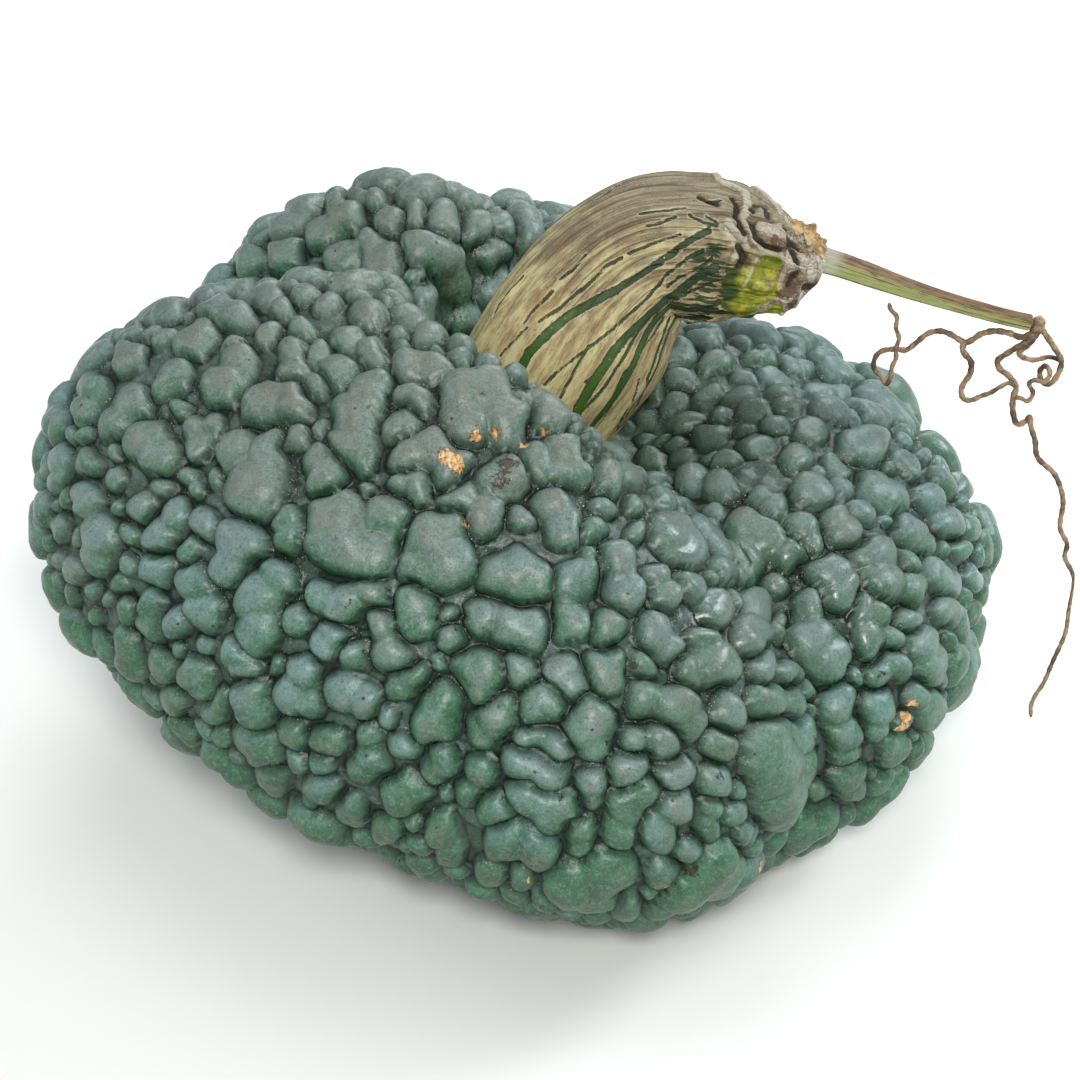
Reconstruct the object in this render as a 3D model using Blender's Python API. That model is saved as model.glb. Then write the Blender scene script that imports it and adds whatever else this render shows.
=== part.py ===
"""A winter squash: one warty three-lobed fruit with its corky stem, vine stalk and tendrils.

Lengths are millimetres until a mesh is made, where they become metres. The origin lies on the flat
spot the fruit rests on. +X is the side the stem leans to, -Y is the front.
"""
import bpy
import numpy as np

MM = 0.001
DEG = np.pi / 180

# the fruit's form without its warts: values at every 30 degrees round its own axis from the right
PLAN = (132, 134, 131, 130, 140, 149, 157, 151, 141, 146, 145, 131)
TOP = (57, 52, 52, 62, 76, 78, 78, 86, 98, 86, 66, 62)
BOTTOM = (64, 70, 78, 82, 84, 86, 86, 78, 76, 79, 90, 81)
SQUARE = 2.25
BUTTON = (-1.5, -8.0, 9.0, 50.0)
LEAN = 12.0
HEART = np.array((16.0, 6.0, 78.0))
VALLEYS = ((-50, 23, 14), (158, 34, 15), (58, 22, 16), (-15, 5, 10), (18, 5, 10),
           (-95, 3, 10), (-140, 3, 10), (105, 5, 10))

# the hollow the stem stands in
PIT_AT = (-20.0, 2.0)
PIT_FLOOR = 24.0
PIT_FLAT = 34.0
PIT_WALL = (32, 26, 20, 14, 12, 10, 9, 9, 13, 24, 38, 38)

# warts
WART_SEED = 7
WART_SIZES = (12.5, 11.0, 9.6, 8.4, 7.2, 6.1, 5.1, 4.2, 3.4, 2.7)
WART_REACH = 1.3
WART_RISE = 0.7
WART_LIFT = 2.2
BLEND = 1.0
VALLEY_SHARE = 0.22
SHOULDER = 2.4
WANDER = 0.45
WANDER_SIZE = 13.0
BARE_LIFT = 0.9
FOLD_DEPTH = 1.5
FOLD_WIDTH = 1.5
FOLD_REACH = 3.5
REST_FADE = 10.0

# where the photograph was taken from, and how it is scaled
EYE_TURN = 35 * DEG
DISTANCE = 900.0
AIM = np.array((0.0, 0.0, 70.0))
AIM_X, AIM_Y = 510.0, 548.0
MM_PER_PX = 0.308
RIGHT = np.array((1.0, 0.0, 0.0))
UP = np.array((0.0, np.sin(EYE_TURN), np.cos(EYE_TURN)))
BACK = np.array((0.0, -np.cos(EYE_TURN), np.sin(EYE_TURN)))
EYE = AIM + BACK * DISTANCE

# the stem: middle of each station in the photograph, its depth in mm and its half width in pixels
STEM = ((514, 438, 8, 84), (531, 406, 8, 87), (548, 377, 9, 89), (577, 335, 10, 92), (600, 299, 12, 86),
        (622, 271, 13, 78), (650, 251, 14, 72), (683, 248, 15, 72), (714, 251, 16, 70), (741, 257, 16, 65),
        (762, 263, 17, 56), (779, 269, 17, 47), (794, 272, 18, 38), (807, 270, 18, 30), (819, 266, 18, 22))
STEM_GAP = 0.3
STALK = ((822, 260, 18, 12.5), (842, 266, 18, 12), (868, 275, 18, 11.5), (905, 288, 18, 10),
         (950, 302, 18, 8.5), (1000, 316, 18, 8), (1030, 323, 18, 8))

# tendrils: x, y in the photograph, depth in mm; the first point of each lies in the body they share
STRANDS = {
    "A": ((1041, 328, 18), (1023, 337, 17), (1009, 333, 16), (995, 331, 15), (981, 334, 15), (972, 340, 15),
          (964, 342, 15), (950, 334, 16), (939, 331, 17), (927, 334, 18), (916, 343, 18), (906, 350, 17),
          (895, 349, 16), (882, 351, 17), (875, 358, 18), (874, 369, 18), (881, 376, 17), (886, 384, 15),
          (890, 379, 13), (892, 367, 13), (896, 358, 13), (896, 349, 12.5), (899, 338, 14), (896, 328, 16),
          (897, 317, 17), (891, 310, 18), (889, 303, 18)),
    "B": ((964, 342, 15), (963, 351, 14), (971, 362, 13), (970, 374, 14), (964, 383, 15), (961, 391, 13),
          (964, 399, 12), (972, 400, 14), (981, 396, 15), (990, 393, 13), (1000, 387, 12), (1009, 383, 13),
          (1016, 387, 15)),
    "C": ((1041, 328, 18), (1027, 341, 20), (1011, 351, 21), (998, 360, 20), (1000, 369, 18),
          (1009, 376, 16), (1016, 387, 15), (1013, 398, 14), (1013, 412, 13), (1017, 424, 14),
          (1026, 421, 15), (1030, 417, 13),
          (1031, 427, 11), (1035, 440, 9), (1038, 458, 8), (1055, 475, 7), (1063, 500, 6), (1060, 527, 5),
          (1067, 544, 4), (1065, 558, 3), (1074, 579, 2), (1069, 610, 0), (1065, 634, -2), (1053, 661, -4),
          (1044, 682, -6), (1035, 696, -8), (1031, 706, -9), (1031, 717, -10)),
    "D": ((1041, 328, 18), (1054, 347, 15), (1061, 360, 13), (1059, 372, 12), (1051, 383, 12),
          (1042, 382, 14), (1040, 371, 15), (1046, 366, 12), (1050, 374, 10), (1044, 382, 9),
          (1035, 380, 11), (1029, 384, 13),
          (1033, 393, 12), (1028, 401, 11), (1020, 398, 13), (1013, 398, 14)),
    "E": ((1041, 328, 18), (1030, 343, 22), (1019, 354, 24), (1033, 360, 25),
          (1049, 357, 23), (1060, 360, 14)),
}
STRAND_RADIUS = 3.1
STRAND_TIP = 2.2

# where the photograph shows sunken skin without warts: x, y in pixels, radius in mm
BARE_SKIN = ((545, 510, 6.0), (465, 600, 4.0), (500, 560, 4.0), (760, 470, 8.0))

# warts read off the photograph: each line is one grown lump, its domes as x, y and radius in pixels
SEEN = (
    # front left lobe, top
    ((223, 381, 23), (236, 359, 20)),
    ((259, 397, 23), (291, 398, 24), (275, 391, 23)),
    ((288, 346, 17), (294, 367, 22), (310, 382, 16)),
    ((318, 343, 16), (334, 362, 20)),
    ((350, 336, 18), (366, 345, 19)),
    ((409, 359, 20), (433, 362, 20), (422, 353, 16)),
    ((441, 341, 13), (455, 351, 15)),
    ((393, 336, 10),),
    ((465, 389, 29), (484, 384, 29), (508, 408, 25), (471, 418, 21), (516, 429, 16)),
    ((489, 359, 15),),
    ((519, 359, 13),),
    ((524, 392, 15), (546, 408, 21), (551, 386, 13)),
    ((406, 386, 17), (414, 397, 16)),
    ((363, 389, 24), (350, 413, 23), (350, 443, 23), (361, 453, 19)),
    ((313, 453, 16), (323, 469, 21)),
    ((291, 434, 15),),
    ((232, 445, 24), (262, 448, 24), (251, 488, 31)),
    ((393, 424, 17), (406, 416, 13)),
    ((406, 448, 20), (430, 445, 24), (449, 461, 21)),
    ((393, 483, 13), (414, 488, 15)),
    ((463, 493, 20), (484, 507, 23), (506, 475, 24), (514, 488, 16)),
    ((535, 453, 17), (556, 469, 19), (575, 448, 20), (581, 472, 16)),
    ((334, 528, 29), (321, 544, 24), (350, 547, 29), (371, 555, 24), (334, 507, 24), (382, 515, 22)),
    ((428, 537, 28), (448, 557, 31), (411, 566, 21), (447, 535, 26)),
    ((499, 571, 22), (522, 572, 25), (535, 580, 21)),
    ((551, 501, 19), (570, 523, 20)),
    ((599, 520, 14),),
    ((605, 496, 14),),
    ((235, 547, 27), (224, 563, 21)),
    ((283, 515, 13), (283, 534, 15)),
    ((318, 595, 16), (342, 603, 21), (363, 590, 19)),
    ((248, 598, 25), (254, 630, 24), (275, 579, 19)),
    ((294, 625, 18),),
    ((318, 652, 17), (329, 635, 16)),
    ((374, 627, 17), (388, 652, 20)),
    ((409, 606, 21), (417, 625, 16)),
    ((484, 614, 19), (508, 627, 24), (522, 638, 19)),
    ((575, 582, 20), (570, 625, 20), (586, 571, 16), (589, 547, 13)),
    ((567, 670, 19), (575, 689, 16)),
    ((605, 668, 23),),
    ((479, 676, 24), (473, 692, 20)),
    ((535, 708, 21), (548, 713, 19)),
    ((229, 654, 17), (240, 670, 16)),
    ((246, 697, 23), (251, 719, 20)),
    ((299, 678, 20), (291, 705, 19), (305, 703, 16)),
    ((339, 692, 19), (361, 705, 20), (353, 662, 15)),
    ((398, 694, 13), (412, 681, 12)),
    ((436, 708, 21), (433, 729, 25)),
    ((492, 719, 19), (479, 737, 16), (505, 708, 12)),
    ((385, 721, 14),),
    # front left lobe, lower part
    ((246, 745, 20), (258, 761, 19)),
    ((262, 783, 19), (271, 793, 15)),
    ((290, 739, 17),),
    ((324, 745, 18),),
    ((316, 799, 18),),
    ((316, 769, 15),),
    ((364, 742, 14), (361, 764, 17), (357, 780, 15)),
    ((396, 751, 17),),
    ((392, 799, 22), (408, 796, 14)),
    ((443, 767, 17), (431, 774, 14)),
    ((472, 777, 16), (462, 796, 14)),
    ((520, 770, 22), (552, 777, 24)),
    ((526, 802, 24), (561, 812, 21), (545, 815, 24)),
    ((494, 815, 21),),
    ((501, 847, 22), (533, 850, 24)),
    ((437, 837, 21), (447, 856, 16)),
    ((380, 837, 18),),
    ((348, 818, 16),),
    ((593, 786, 16), (593, 805, 13)),
    ((580, 837, 16), (580, 853, 13)),
    ((631, 777, 22),),
    ((628, 812, 21), (625, 840, 21), (649, 802, 17)),
    ((571, 895, 28), (603, 879, 27), (590, 904, 25)),
    ((628, 914, 19),),
    ((485, 879, 17),),
    ((517, 888, 13),),
    ((596, 726, 25), (590, 748, 17)),
    ((529, 745, 16), (555, 751, 17)),
    ((185, 678, 20), (195, 690, 14)),
    ((211, 713, 18),),
    ((169, 707, 15),),
    ((166, 627, 20),),
    ((196, 652, 9),),
    ((188, 582, 18), (195, 612, 20)),
    # front left lobe, left end
    ((163, 294, 19), (153, 306, 13)),
    ((217, 301, 18), (237, 306, 18)),
    ((245, 283, 15), (263, 286, 15), (283, 299, 13)),
    ((189, 337, 19), (201, 324, 13)),
    ((166, 367, 19), (163, 380, 14)),
    ((122, 401, 22), (110, 416, 19)),
    ((143, 436, 22), (150, 459, 23)),
    ((153, 487, 15), (135, 505, 15)),
    ((186, 426, 13), (196, 441, 15), (209, 421, 11)),
    ((182, 475, 13), (186, 490, 10)),
    ((168, 513, 15), (156, 538, 18)),
    ((201, 521, 16),),
    ((148, 572, 19),),
    ((77, 505, 17), (74, 495, 13), (89, 541, 22), (89, 556, 18)),
    ((140, 605, 17), (145, 628, 18)),
    ((54, 459, 15), (48, 480, 13)),
    ((77, 462, 14),),
    ((28, 462, 12),),
    ((105, 477, 12),),
    ((51, 528, 12),),
    ((69, 571, 15), (51, 561, 11)),
    ((84, 385, 18), (74, 406, 15)),
    ((122, 352, 18),),
    ((125, 329, 14),),
    ((267, 324, 15),),
    ((301, 319, 14),),
    ((171, 406, 12),),
    ((125, 538, 11),),
    ((112, 587, 11),),
    ((97, 605, 9),),
    ((84, 597, 9),),
    ((87, 622, 9),),
    ((61, 597, 9),),
    # the crease between the lobes and the rib right of it
    ((580, 416, 9),),
    ((594, 424, 8),),
    ((604, 436, 8),),
    ((600, 454, 9),),
    ((622, 444, 10),),
    ((617, 475, 20), (637, 469, 17)),
    ((643, 503, 12),),
    ((637, 526, 12),),
    ((626, 552, 22), (632, 586, 23)),
    ((666, 572, 14), (672, 589, 16)),
    ((612, 624, 21),),
    ((683, 526, 23), (692, 543, 23), (675, 492, 13)),
    ((703, 584, 17), (724, 607, 19)),
    ((658, 630, 20), (678, 644, 17)),
    ((729, 664, 23), (698, 675, 17), (712, 638, 14)),
    ((643, 704, 20), (683, 710, 23), (695, 727, 19)),
    ((640, 739, 14), (666, 753, 19)),
    ((683, 776, 21),),
    ((681, 813, 20), (663, 836, 20)),
    ((738, 710, 19),),
    ((726, 747, 17),),
    ((721, 787, 20),),
    ((718, 813, 13), (718, 833, 14)),
    ((778, 698, 21), (801, 704, 17)),
    ((778, 739, 27), (807, 736, 20), (787, 767, 32), (790, 802, 34), (807, 773, 26)),
    # right lobe
    ((746, 523, 23), (744, 555, 24), (790, 549, 19), (767, 529, 20)),
    ((767, 601, 20), (758, 630, 22)),
    ((815, 607, 19), (818, 638, 26), (833, 658, 23)),
    ((770, 667, 16), (798, 670, 14)),
    ((830, 569, 24), (844, 587, 20)),
    ((758, 489, 14), (778, 503, 16), (801, 521, 16), (815, 538, 13)),
    ((836, 512, 17), (850, 523, 17)),
    ((879, 552, 23), (890, 578, 22), (919, 584, 17)),
    ((879, 486, 22), (896, 489, 22)),
    ((919, 526, 19), (930, 538, 13)),
    ((856, 437, 17), (879, 437, 20)),
    ((815, 422, 17),),
    ((706, 432, 16),),
    ((947, 569, 17), (956, 584, 17)),
    ((870, 612, 17), (884, 607, 14), (870, 638, 17), (901, 638, 14)),
    ((930, 647, 19), (939, 664, 20)),
    ((916, 618, 14),),
    ((953, 615, 16),),
    ((979, 618, 13),),
    ((927, 698, 14), (939, 713, 20)),
    ((907, 667, 17), (887, 675, 13)),
    ((884, 710, 19), (884, 733, 17)),
    ((844, 707, 19), (847, 739, 20), (853, 756, 17)),
    ((899, 756, 17),),
    ((856, 779, 19), (858, 799, 13)),
    ((689, 466, 20), (715, 475, 17)),
    ((646, 449, 16),),
    ((838, 460, 14),),
    ((982, 475, 16),),
    ((979, 523, 14),),
    ((968, 546, 12),),
    ((982, 578, 14),),
    ((927, 446, 11),),
    ((910, 434, 11),),
    ((933, 492, 16), (956, 515, 17)),
    ((755, 434, 17),),
    ((798, 449, 17),),
    # back left lobe
    ((427, 184, 25),),
    ((466, 186, 17), (481, 191, 16)),
    ((522, 203, 16), (534, 215, 18)),
    ((350, 189, 15), (374, 191, 15)),
    ((340, 206, 22), (321, 223, 19)),
    ((301, 203, 19), (284, 220, 19)),
    ((384, 212, 16),),
    ((410, 208, 16),),
    ((444, 206, 15), (454, 220, 15)),
    ((485, 220, 18), (505, 225, 19)),
    ((359, 240, 19), (379, 262, 22), (335, 252, 19)),
    ((427, 247, 17), (454, 264, 22), (466, 281, 17)),
    ((277, 252, 21), (241, 254, 17)),
    ((498, 254, 19),),
    ((299, 286, 14),),
    ((325, 291, 13),),
    ((371, 308, 19),),
    ((427, 320, 20),),
    ((408, 325, 11),),
    ((461, 329, 16),),
)


def unit(v):
    return v / np.linalg.norm(v, axis=-1, keepdims=True)


def smooth(t):
    t = np.clip(t, 0, 1)
    return t * t * (3 - 2 * t)


def round_curve(values, angle):
    """A smooth closed curve through values given at even steps of angle."""
    n = len(values)
    c = np.fft.rfft(values) / n
    out = np.full_like(angle, c[0].real)
    for k in range(1, len(c)):
        weight = 1.0 if 2 * k == n else 2.0
        out = out + weight * (c[k] * np.exp(1j * k * angle)).real
    return out


def from_picture(x, y, depth):
    """The point with the given Y that shows at pixel x, y of the photograph."""
    ray = RIGHT * (x - AIM_X) + UP * (AIM_Y - y) - BACK * DISTANCE / MM_PER_PX
    return EYE + ray * (depth - EYE[1]) / ray[1]


def in_picture(points):
    """Pixels and distances of points."""
    d = points - EYE
    far = -(d @ BACK)
    scale = DISTANCE / MM_PER_PX / far
    return np.stack([AIM_X + d @ RIGHT * scale, AIM_Y - d @ UP * scale], 1), far


def to_row(points):
    """From the fruit's own axis to the shared frame."""
    t = LEAN * DEG
    x, y, z = points.T
    return np.stack([x * np.cos(t) + z * np.sin(t), y, z * np.cos(t) - x * np.sin(t)], 1) + HEART


def base_point(u):
    """The fruit without warts: a rounded cushion with valleys, a hollow for the stem and a flat rest.

    Its underside is settled level with the ground and swells a little at the blossom end.
    """
    turn = np.arctan2(u[:, 1], u[:, 0])
    c = u[:, 2]
    s = np.sqrt(np.clip(1 - c * c, 0, 1))
    r = (s ** SQUARE + np.abs(c) ** SQUARE) ** (-1 / SQUARE)
    out = round_curve(PLAN, turn) * s * r
    x, y = out * np.cos(turn), out * np.sin(turn)
    dx, dy = x - PIT_AT[0], y - PIT_AT[1]
    far = np.hypot(dx, dy)
    way = np.arctan2(dy, dx)
    away = 1 - np.exp(-(far / 42.0) ** 2)
    cut = np.zeros_like(turn)
    for middle, depth, width in VALLEYS:
        off = np.abs((way - middle * DEG + np.pi) % (2 * np.pi) - np.pi) / (width * DEG)
        cut = cut + depth * np.exp(-off ** 1.5)
    rim = np.mean(TOP)
    keel = np.mean(BOTTOM)
    under = keel + (round_curve(BOTTOM, turn) - keel) * (1 - np.exp(-(out / 60.0) ** 2))
    height = np.where(c > 0, rim + (round_curve(TOP, turn) - rim) * away, under)
    z = height * c * r
    k = 1 - cut * s * (1 - 0.35 * np.clip(-c, 0, 1)) * away / np.maximum(out, 30)
    z = z - np.where(c > 0, cut * 0.9 * away * c, 0)
    wall = round_curve(PIT_WALL, way)
    inside = np.exp(-(np.maximum(far - PIT_FLAT, 0) / wall) ** 2)
    z = np.where(c > 0, z + (PIT_FLOOR - z) * inside, z)
    settled = x * np.tan(LEAN * DEG) * np.exp(-(out / 80.0) ** 2) * np.clip(-c, 0, 1)
    button = BUTTON[2] * np.exp(-((x - BUTTON[0]) ** 2 + (y - BUTTON[1]) ** 2) / BUTTON[3] ** 2)
    z = np.where(c > 0, z, z + settled - button)
    k = np.where(c > 0, k + (1 - k) * inside, k)
    p = to_row(np.stack([x * k, y * k, z], 1))
    p[:, 2] = np.maximum(p[:, 2], 0)
    return p


def base_frame(u):
    """Base points and outward normals."""
    side = np.where(np.abs(u[:, 2:]) < 0.9, np.array([[0, 0, 1.0]]), np.array([[1.0, 0, 0]]))
    e1 = unit(np.cross(side, u))
    e2 = np.cross(u, e1)
    step = 0.004
    a = base_point(unit(u + step * e1)) - base_point(unit(u - step * e1))
    b = base_point(unit(u + step * e2)) - base_point(unit(u - step * e2))
    return base_point(u), unit(np.cross(a, b) + 1e-9 * u)


def cube_sphere(n):
    """Directions and outward quads of a cube of n by n cells a side, blown up to a ball."""
    a = np.tan(np.linspace(-np.pi / 4, np.pi / 4, n + 1))
    A, B = np.meshgrid(a, a, indexing="ij")
    one = np.ones_like(A)
    sides = ((one, A, B), (-one, -A, B), (-A, one, B), (A, -one, B), (-B, A, one), (B, A, -one))
    points = np.concatenate([np.stack(s, -1).reshape(-1, 3) for s in sides])
    i, j = np.meshgrid(np.arange(n), np.arange(n), indexing="ij")
    corner = (i * (n + 1) + j).reshape(-1)
    quad = corner[:, None] + np.array([0, n + 1, n + 2, 1])
    quads = np.concatenate([quad + k * (n + 1) ** 2 for k in range(6)])
    key = np.round(points * 1e6).astype(np.int64)
    _, first, back = np.unique(key, axis=0, return_index=True, return_inverse=True)
    points = unit(points[first])
    quads = back.reshape(-1)[quads]
    out = np.cross(points[quads[:, 2]] - points[quads[:, 0]], points[quads[:, 3]] - points[quads[:, 1]])
    inward = (points[quads[:, 0]] * out).sum(1) < 0
    quads[inward] = quads[inward][:, ::-1]
    return points, quads


def even_directions(n):
    k = np.arange(n) + 0.5
    z = 1 - 2 * k / n
    a = np.pi * (1 + 5 ** 0.5) * k
    r = np.sqrt(1 - z * z)
    return np.stack([r * np.cos(a), r * np.sin(a), z], 1)


def wart_limit(u):
    """The largest wart that grows at each direction."""
    tip = np.arccos(np.clip(u[:, 2], -1, 1))
    turn = np.arctan2(u[:, 1], u[:, 0]) / DEG
    limit = np.interp(tip, (0, 0.25, 0.5, 0.8, 1.2, 1.7, 2.2, 2.7, 3.14),
                      (4, 5, 7.5, 12.5, 13.5, 12.5, 9.5, 8, 7))
    left = np.exp(-(((turn - 195 + 180) % 360 - 180) / 35) ** 2)
    right = np.exp(-(((turn - 15 + 180) % 360 - 180) / 50) ** 2)
    return limit * (1 - 0.3 * left * (tip > 1.2)) * (1 - 0.35 * right * np.exp(-((tip - 0.6) / 0.25) ** 2))


def plant_warts():
    """Domes: centres, normals, radii, lump numbers, and the axis each is stretched along."""
    rng = np.random.default_rng(WART_SEED)
    u = even_directions(30000)
    X, N = base_frame(u)
    pixel, far = in_picture(X + N * 5)
    facing = (N * unit(EYE - X)).sum(1)
    domes = []
    free = np.full(len(X), 1e9)
    for number, lump in enumerate(SEEN):
        for x, y, r in lump:
            off = np.hypot(pixel[:, 0] - x, pixel[:, 1] - y)
            near = np.flatnonzero((facing > 0.05) & (off < 7))
            if len(near) == 0:
                near = np.flatnonzero((facing > 0.05) & (off < 25))
            if len(near) == 0:
                continue
            near = near[far[near] < far[near].min() + 15]
            i = near[np.argmin(off[near])]
            view = unit(EYE - X[i])
            axis = unit(view - N[i] * facing[i]) * (1 - max(facing[i], 0.38) ** 0.65)
            radius = r * MM_PER_PX * far[i] / DISTANCE
            domes.append((X[i], N[i], radius, number, axis))
            d = X - X[i]
            d = d - (d @ axis)[:, None] * unit(axis)
            free = np.minimum(free, np.linalg.norm(d, axis=1) - radius)
    for x, y, r in BARE_SKIN:
        off = np.hypot(pixel[:, 0] - x, pixel[:, 1] - y)
        free[(facing > 0.05) & (off < r / MM_PER_PX)] = 0
    limit = wart_limit(u)
    number = len(SEEN)
    for size in WART_SIZES:
        while True:
            room = np.flatnonzero((free >= size * 0.97) & (limit >= size * 0.93))
            if len(room) == 0:
                break
            pick = room[rng.integers(len(room), size=min(6, len(room)))]
            i = pick[np.argmin(free[pick])]
            radius = size * rng.uniform(0.97, 1.05)
            free = np.minimum(free, np.linalg.norm(X - X[i], axis=1) - radius)
            way = rng.uniform(0, 2 * np.pi)
            a = unit(np.cross(N[i], (np.cos(way), np.sin(way), 0.3)))
            b = np.cross(N[i], a)
            parts = 1 if radius < 5.5 else int(rng.integers(1, 4))
            for k in range(parts):
                t = 2 * np.pi * k / parts + rng.uniform(-0.4, 0.4)
                off = radius * rng.uniform(0.34, 0.46) if parts > 1 else 0
                r = radius * (rng.uniform(0.62, 0.74) if parts > 1 else 1)
                domes.append((X[i] + (a * np.cos(t) + b * 0.8 * np.sin(t)) * off, N[i], r, number, a * 0.1))
            number += 1
    return [np.array(column) for column in zip(*domes)]


def ripple(points, size, count, seed):
    """A smooth wandering field: the sum of sine waves of about one size, running in every direction."""
    rng = np.random.default_rng(seed)
    total = np.zeros(len(points))
    for _ in range(count):
        way = unit(rng.normal(size=3)) * 2 * np.pi / (size * rng.uniform(0.8, 1.6))
        total += np.sin(points @ way + rng.uniform(0, 2 * np.pi))
    return total / np.sqrt(count / 2)


def wander(points):
    """Points shifted a little, smoothly, so that the bounds between warts aren't straight."""
    shift = [ripple(points, WANDER_SIZE, 8, seed) for seed in (31, 32, 33)]
    return points + WANDER * np.stack(shift, 1)


def lumps_near(X, warts, cell=12.0):
    """For each lump, its domes and the points within its reach, by a search in cubes."""
    C, _, R, lump, axis = warts
    low = X.min(0) - 1
    box = ((X - low) // cell).astype(int)
    size = box.max(0) + 1
    flat = (box[:, 0] * size[1] + box[:, 1]) * size[2] + box[:, 2]
    order = np.argsort(flat, kind="stable")
    flat = flat[order]
    edges = np.flatnonzero(np.diff(lump)) + 1
    for ks in np.split(np.arange(len(lump)), edges):
        c = C[ks].mean(0)
        long = (R[ks] + WART_REACH) / (1 - np.linalg.norm(axis[ks], axis=1))
        reach = (np.linalg.norm(C[ks] - c, axis=1) + long).max()
        lo = np.maximum(((c - reach - low) // cell).astype(int), 0)
        hi = np.minimum(((c + reach - low) // cell).astype(int), size - 1)
        found = []
        for i in range(lo[0], hi[0] + 1):
            for j in range(lo[1], hi[1] + 1):
                row = (i * size[1] + j) * size[2]
                p, q = np.searchsorted(flat, (row + lo[2], row + hi[2] + 1))
                found.append(order[p:q])
        near = np.concatenate(found) if found else order[:0]
        near = near[((X[near] - c) ** 2).sum(1) < reach * reach]
        if len(near):
            yield ks, near


def lump_field(X, N, C, NC, R, axis):
    """How far points lie outside one lump of domes, the way out, and the lump's height there.

    Distances to the domes' rims blend by -t log(sum exp(-d / t)), heights by a tenth-root sum. Where two
    domes of the lump meet, a fold runs in from the notch between them and fades towards the top.
    """
    total = np.zeros(len(X))
    high = np.zeros(len(X))
    pull = np.zeros((len(X), 3))
    first = np.full(len(X), 9.0)
    second = np.full(len(X), 9.0)
    for c, nc, r, a in zip(C, NC, R, axis):
        d = X - c
        d = d - nc * (d @ nc)[:, None] * 0.6
        d = d - (d @ a)[:, None] * unit(a)
        away = np.maximum(np.linalg.norm(d, axis=1), 1e-3)
        weight = np.exp(-np.clip(away - r, -30, 30) / BLEND)
        total += weight
        pull += (weight / away)[:, None] * d
        top = (WART_RISE * r + WART_LIFT) * np.sqrt(np.clip(1 - (away / (1.03 * r + 1.0)) ** 2, 0.02, 1))
        high += np.where(N @ nc > 0.2, top, 0) ** 10
        second = np.minimum(second, np.maximum(first, away - r))
        first = np.minimum(first, away - r)
    fold = FOLD_DEPTH * np.exp((first - second) / FOLD_WIDTH + np.minimum(first, 0) / FOLD_REACH)
    out = -BLEND * np.log(np.maximum(total, 1e-13))
    return out, pull / np.maximum(total, 1e-13)[:, None], np.maximum(high ** 0.1 - fold, 0.3)


def nearest_two(X, N, warts):
    """How far each point lies outside its own lump and the next, with slopes, heights and lump numbers."""
    C, NC, R, lump, axis = warts
    X = wander(X)
    bare = int(lump.max()) + 1
    out = np.full((2, len(X)), WART_REACH)
    out[1] += 6.0
    slope = np.zeros((2, len(X), 3))
    high = np.full((2, len(X)), BARE_LIFT)
    owner = np.full((2, len(X)), bare)
    for ks, near in lumps_near(X, warts):
        far, way, tall = lump_field(X[near], N[near], C[ks], NC[ks], R[ks], axis[ks])
        facing = (N[near] @ NC[ks].T).max(1) > 0.2
        first = facing & (far < out[0][near])
        other = facing & ~first & (far < out[1][near])
        i = near[first]
        for column in (out, slope, high, owner):
            column[1][i] = column[0][i]
        out[0][i], slope[0][i], high[0][i], owner[0][i] = far[first], way[first], tall[first], lump[ks[0]]
        i = near[other]
        out[1][i], slope[1][i], high[1][i], owner[1][i] = far[other], way[other], tall[other], lump[ks[0]]
    return out, slope, high, owner


def crease_distance(X, N, warts):
    """Heights of a point's lump and the next, distance to the crease, way to it, and lump numbers."""
    out, slope, high, owner = nearest_two(X, N, warts)
    g = slope[0] - slope[1]
    g = g - N * (g * N).sum(1)[:, None]
    size = np.maximum(np.linalg.norm(g, axis=1), 0.3)
    return high, (out[1] - out[0]) / size, g / size[:, None], owner


def relief(X, N, warts):
    """Height over the base: valley + (top - valley) sqrt(1 - (1 - gap / shoulder) ^ 2), and the crease."""
    high, gap, way, owner = crease_distance(X, N, warts)
    bare = int(warts[3].max()) + 1
    beside_bare = (owner == bare).any(0)
    valley = np.where(beside_bare, BARE_LIFT * 0.5, VALLEY_SHARE * 0.5 * (high[0] + high[1]))
    shoulder = np.clip(0.75 * high[0], 1.0, SHOULDER)
    rim = np.sqrt(np.clip(1 - (1 - np.clip(gap / shoulder, 0, 1)) ** 2, 0, 1))
    return valley + (high[0] - valley) * rim, gap, way, owner[0]


def curve_through(points, count):
    """Even steps along a smooth curve through the points (rows may hold more than three values)."""
    p = np.asarray(points, float)
    p = np.vstack([2 * p[0] - p[1], p, 2 * p[-1] - p[-2]])
    t = np.linspace(0, len(p) - 3 - 1e-9, count * 8)
    i = t.astype(int)
    f = (t - i)[:, None]
    a, b, c, d = p[i], p[i + 1], p[i + 2], p[i + 3]
    q = 0.5 * (2 * b + (c - a) * f + (2 * a - 5 * b + 4 * c - d) * f ** 2 + (3 * b - a - 3 * c + d) * f ** 3)
    run = np.r_[0, np.cumsum(np.linalg.norm(np.diff(q[:, :3], axis=0), axis=1))]
    even = np.linspace(0, run[-1], count)
    return np.stack([np.interp(even, run, column) for column in q.T], 1)


def stations(rows):
    """Picture rows x, y, depth, half width to points and radii in mm."""
    out = []
    for x, y, depth, half in rows:
        p = from_picture(x, y, depth)
        out.append((*p, half * MM_PER_PX * -((p - EYE) @ BACK) / DISTANCE))
    return np.array(out)


def fruit_axis():
    return np.array((np.sin(LEAN * DEG), 0, np.cos(LEAN * DEG)))


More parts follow.
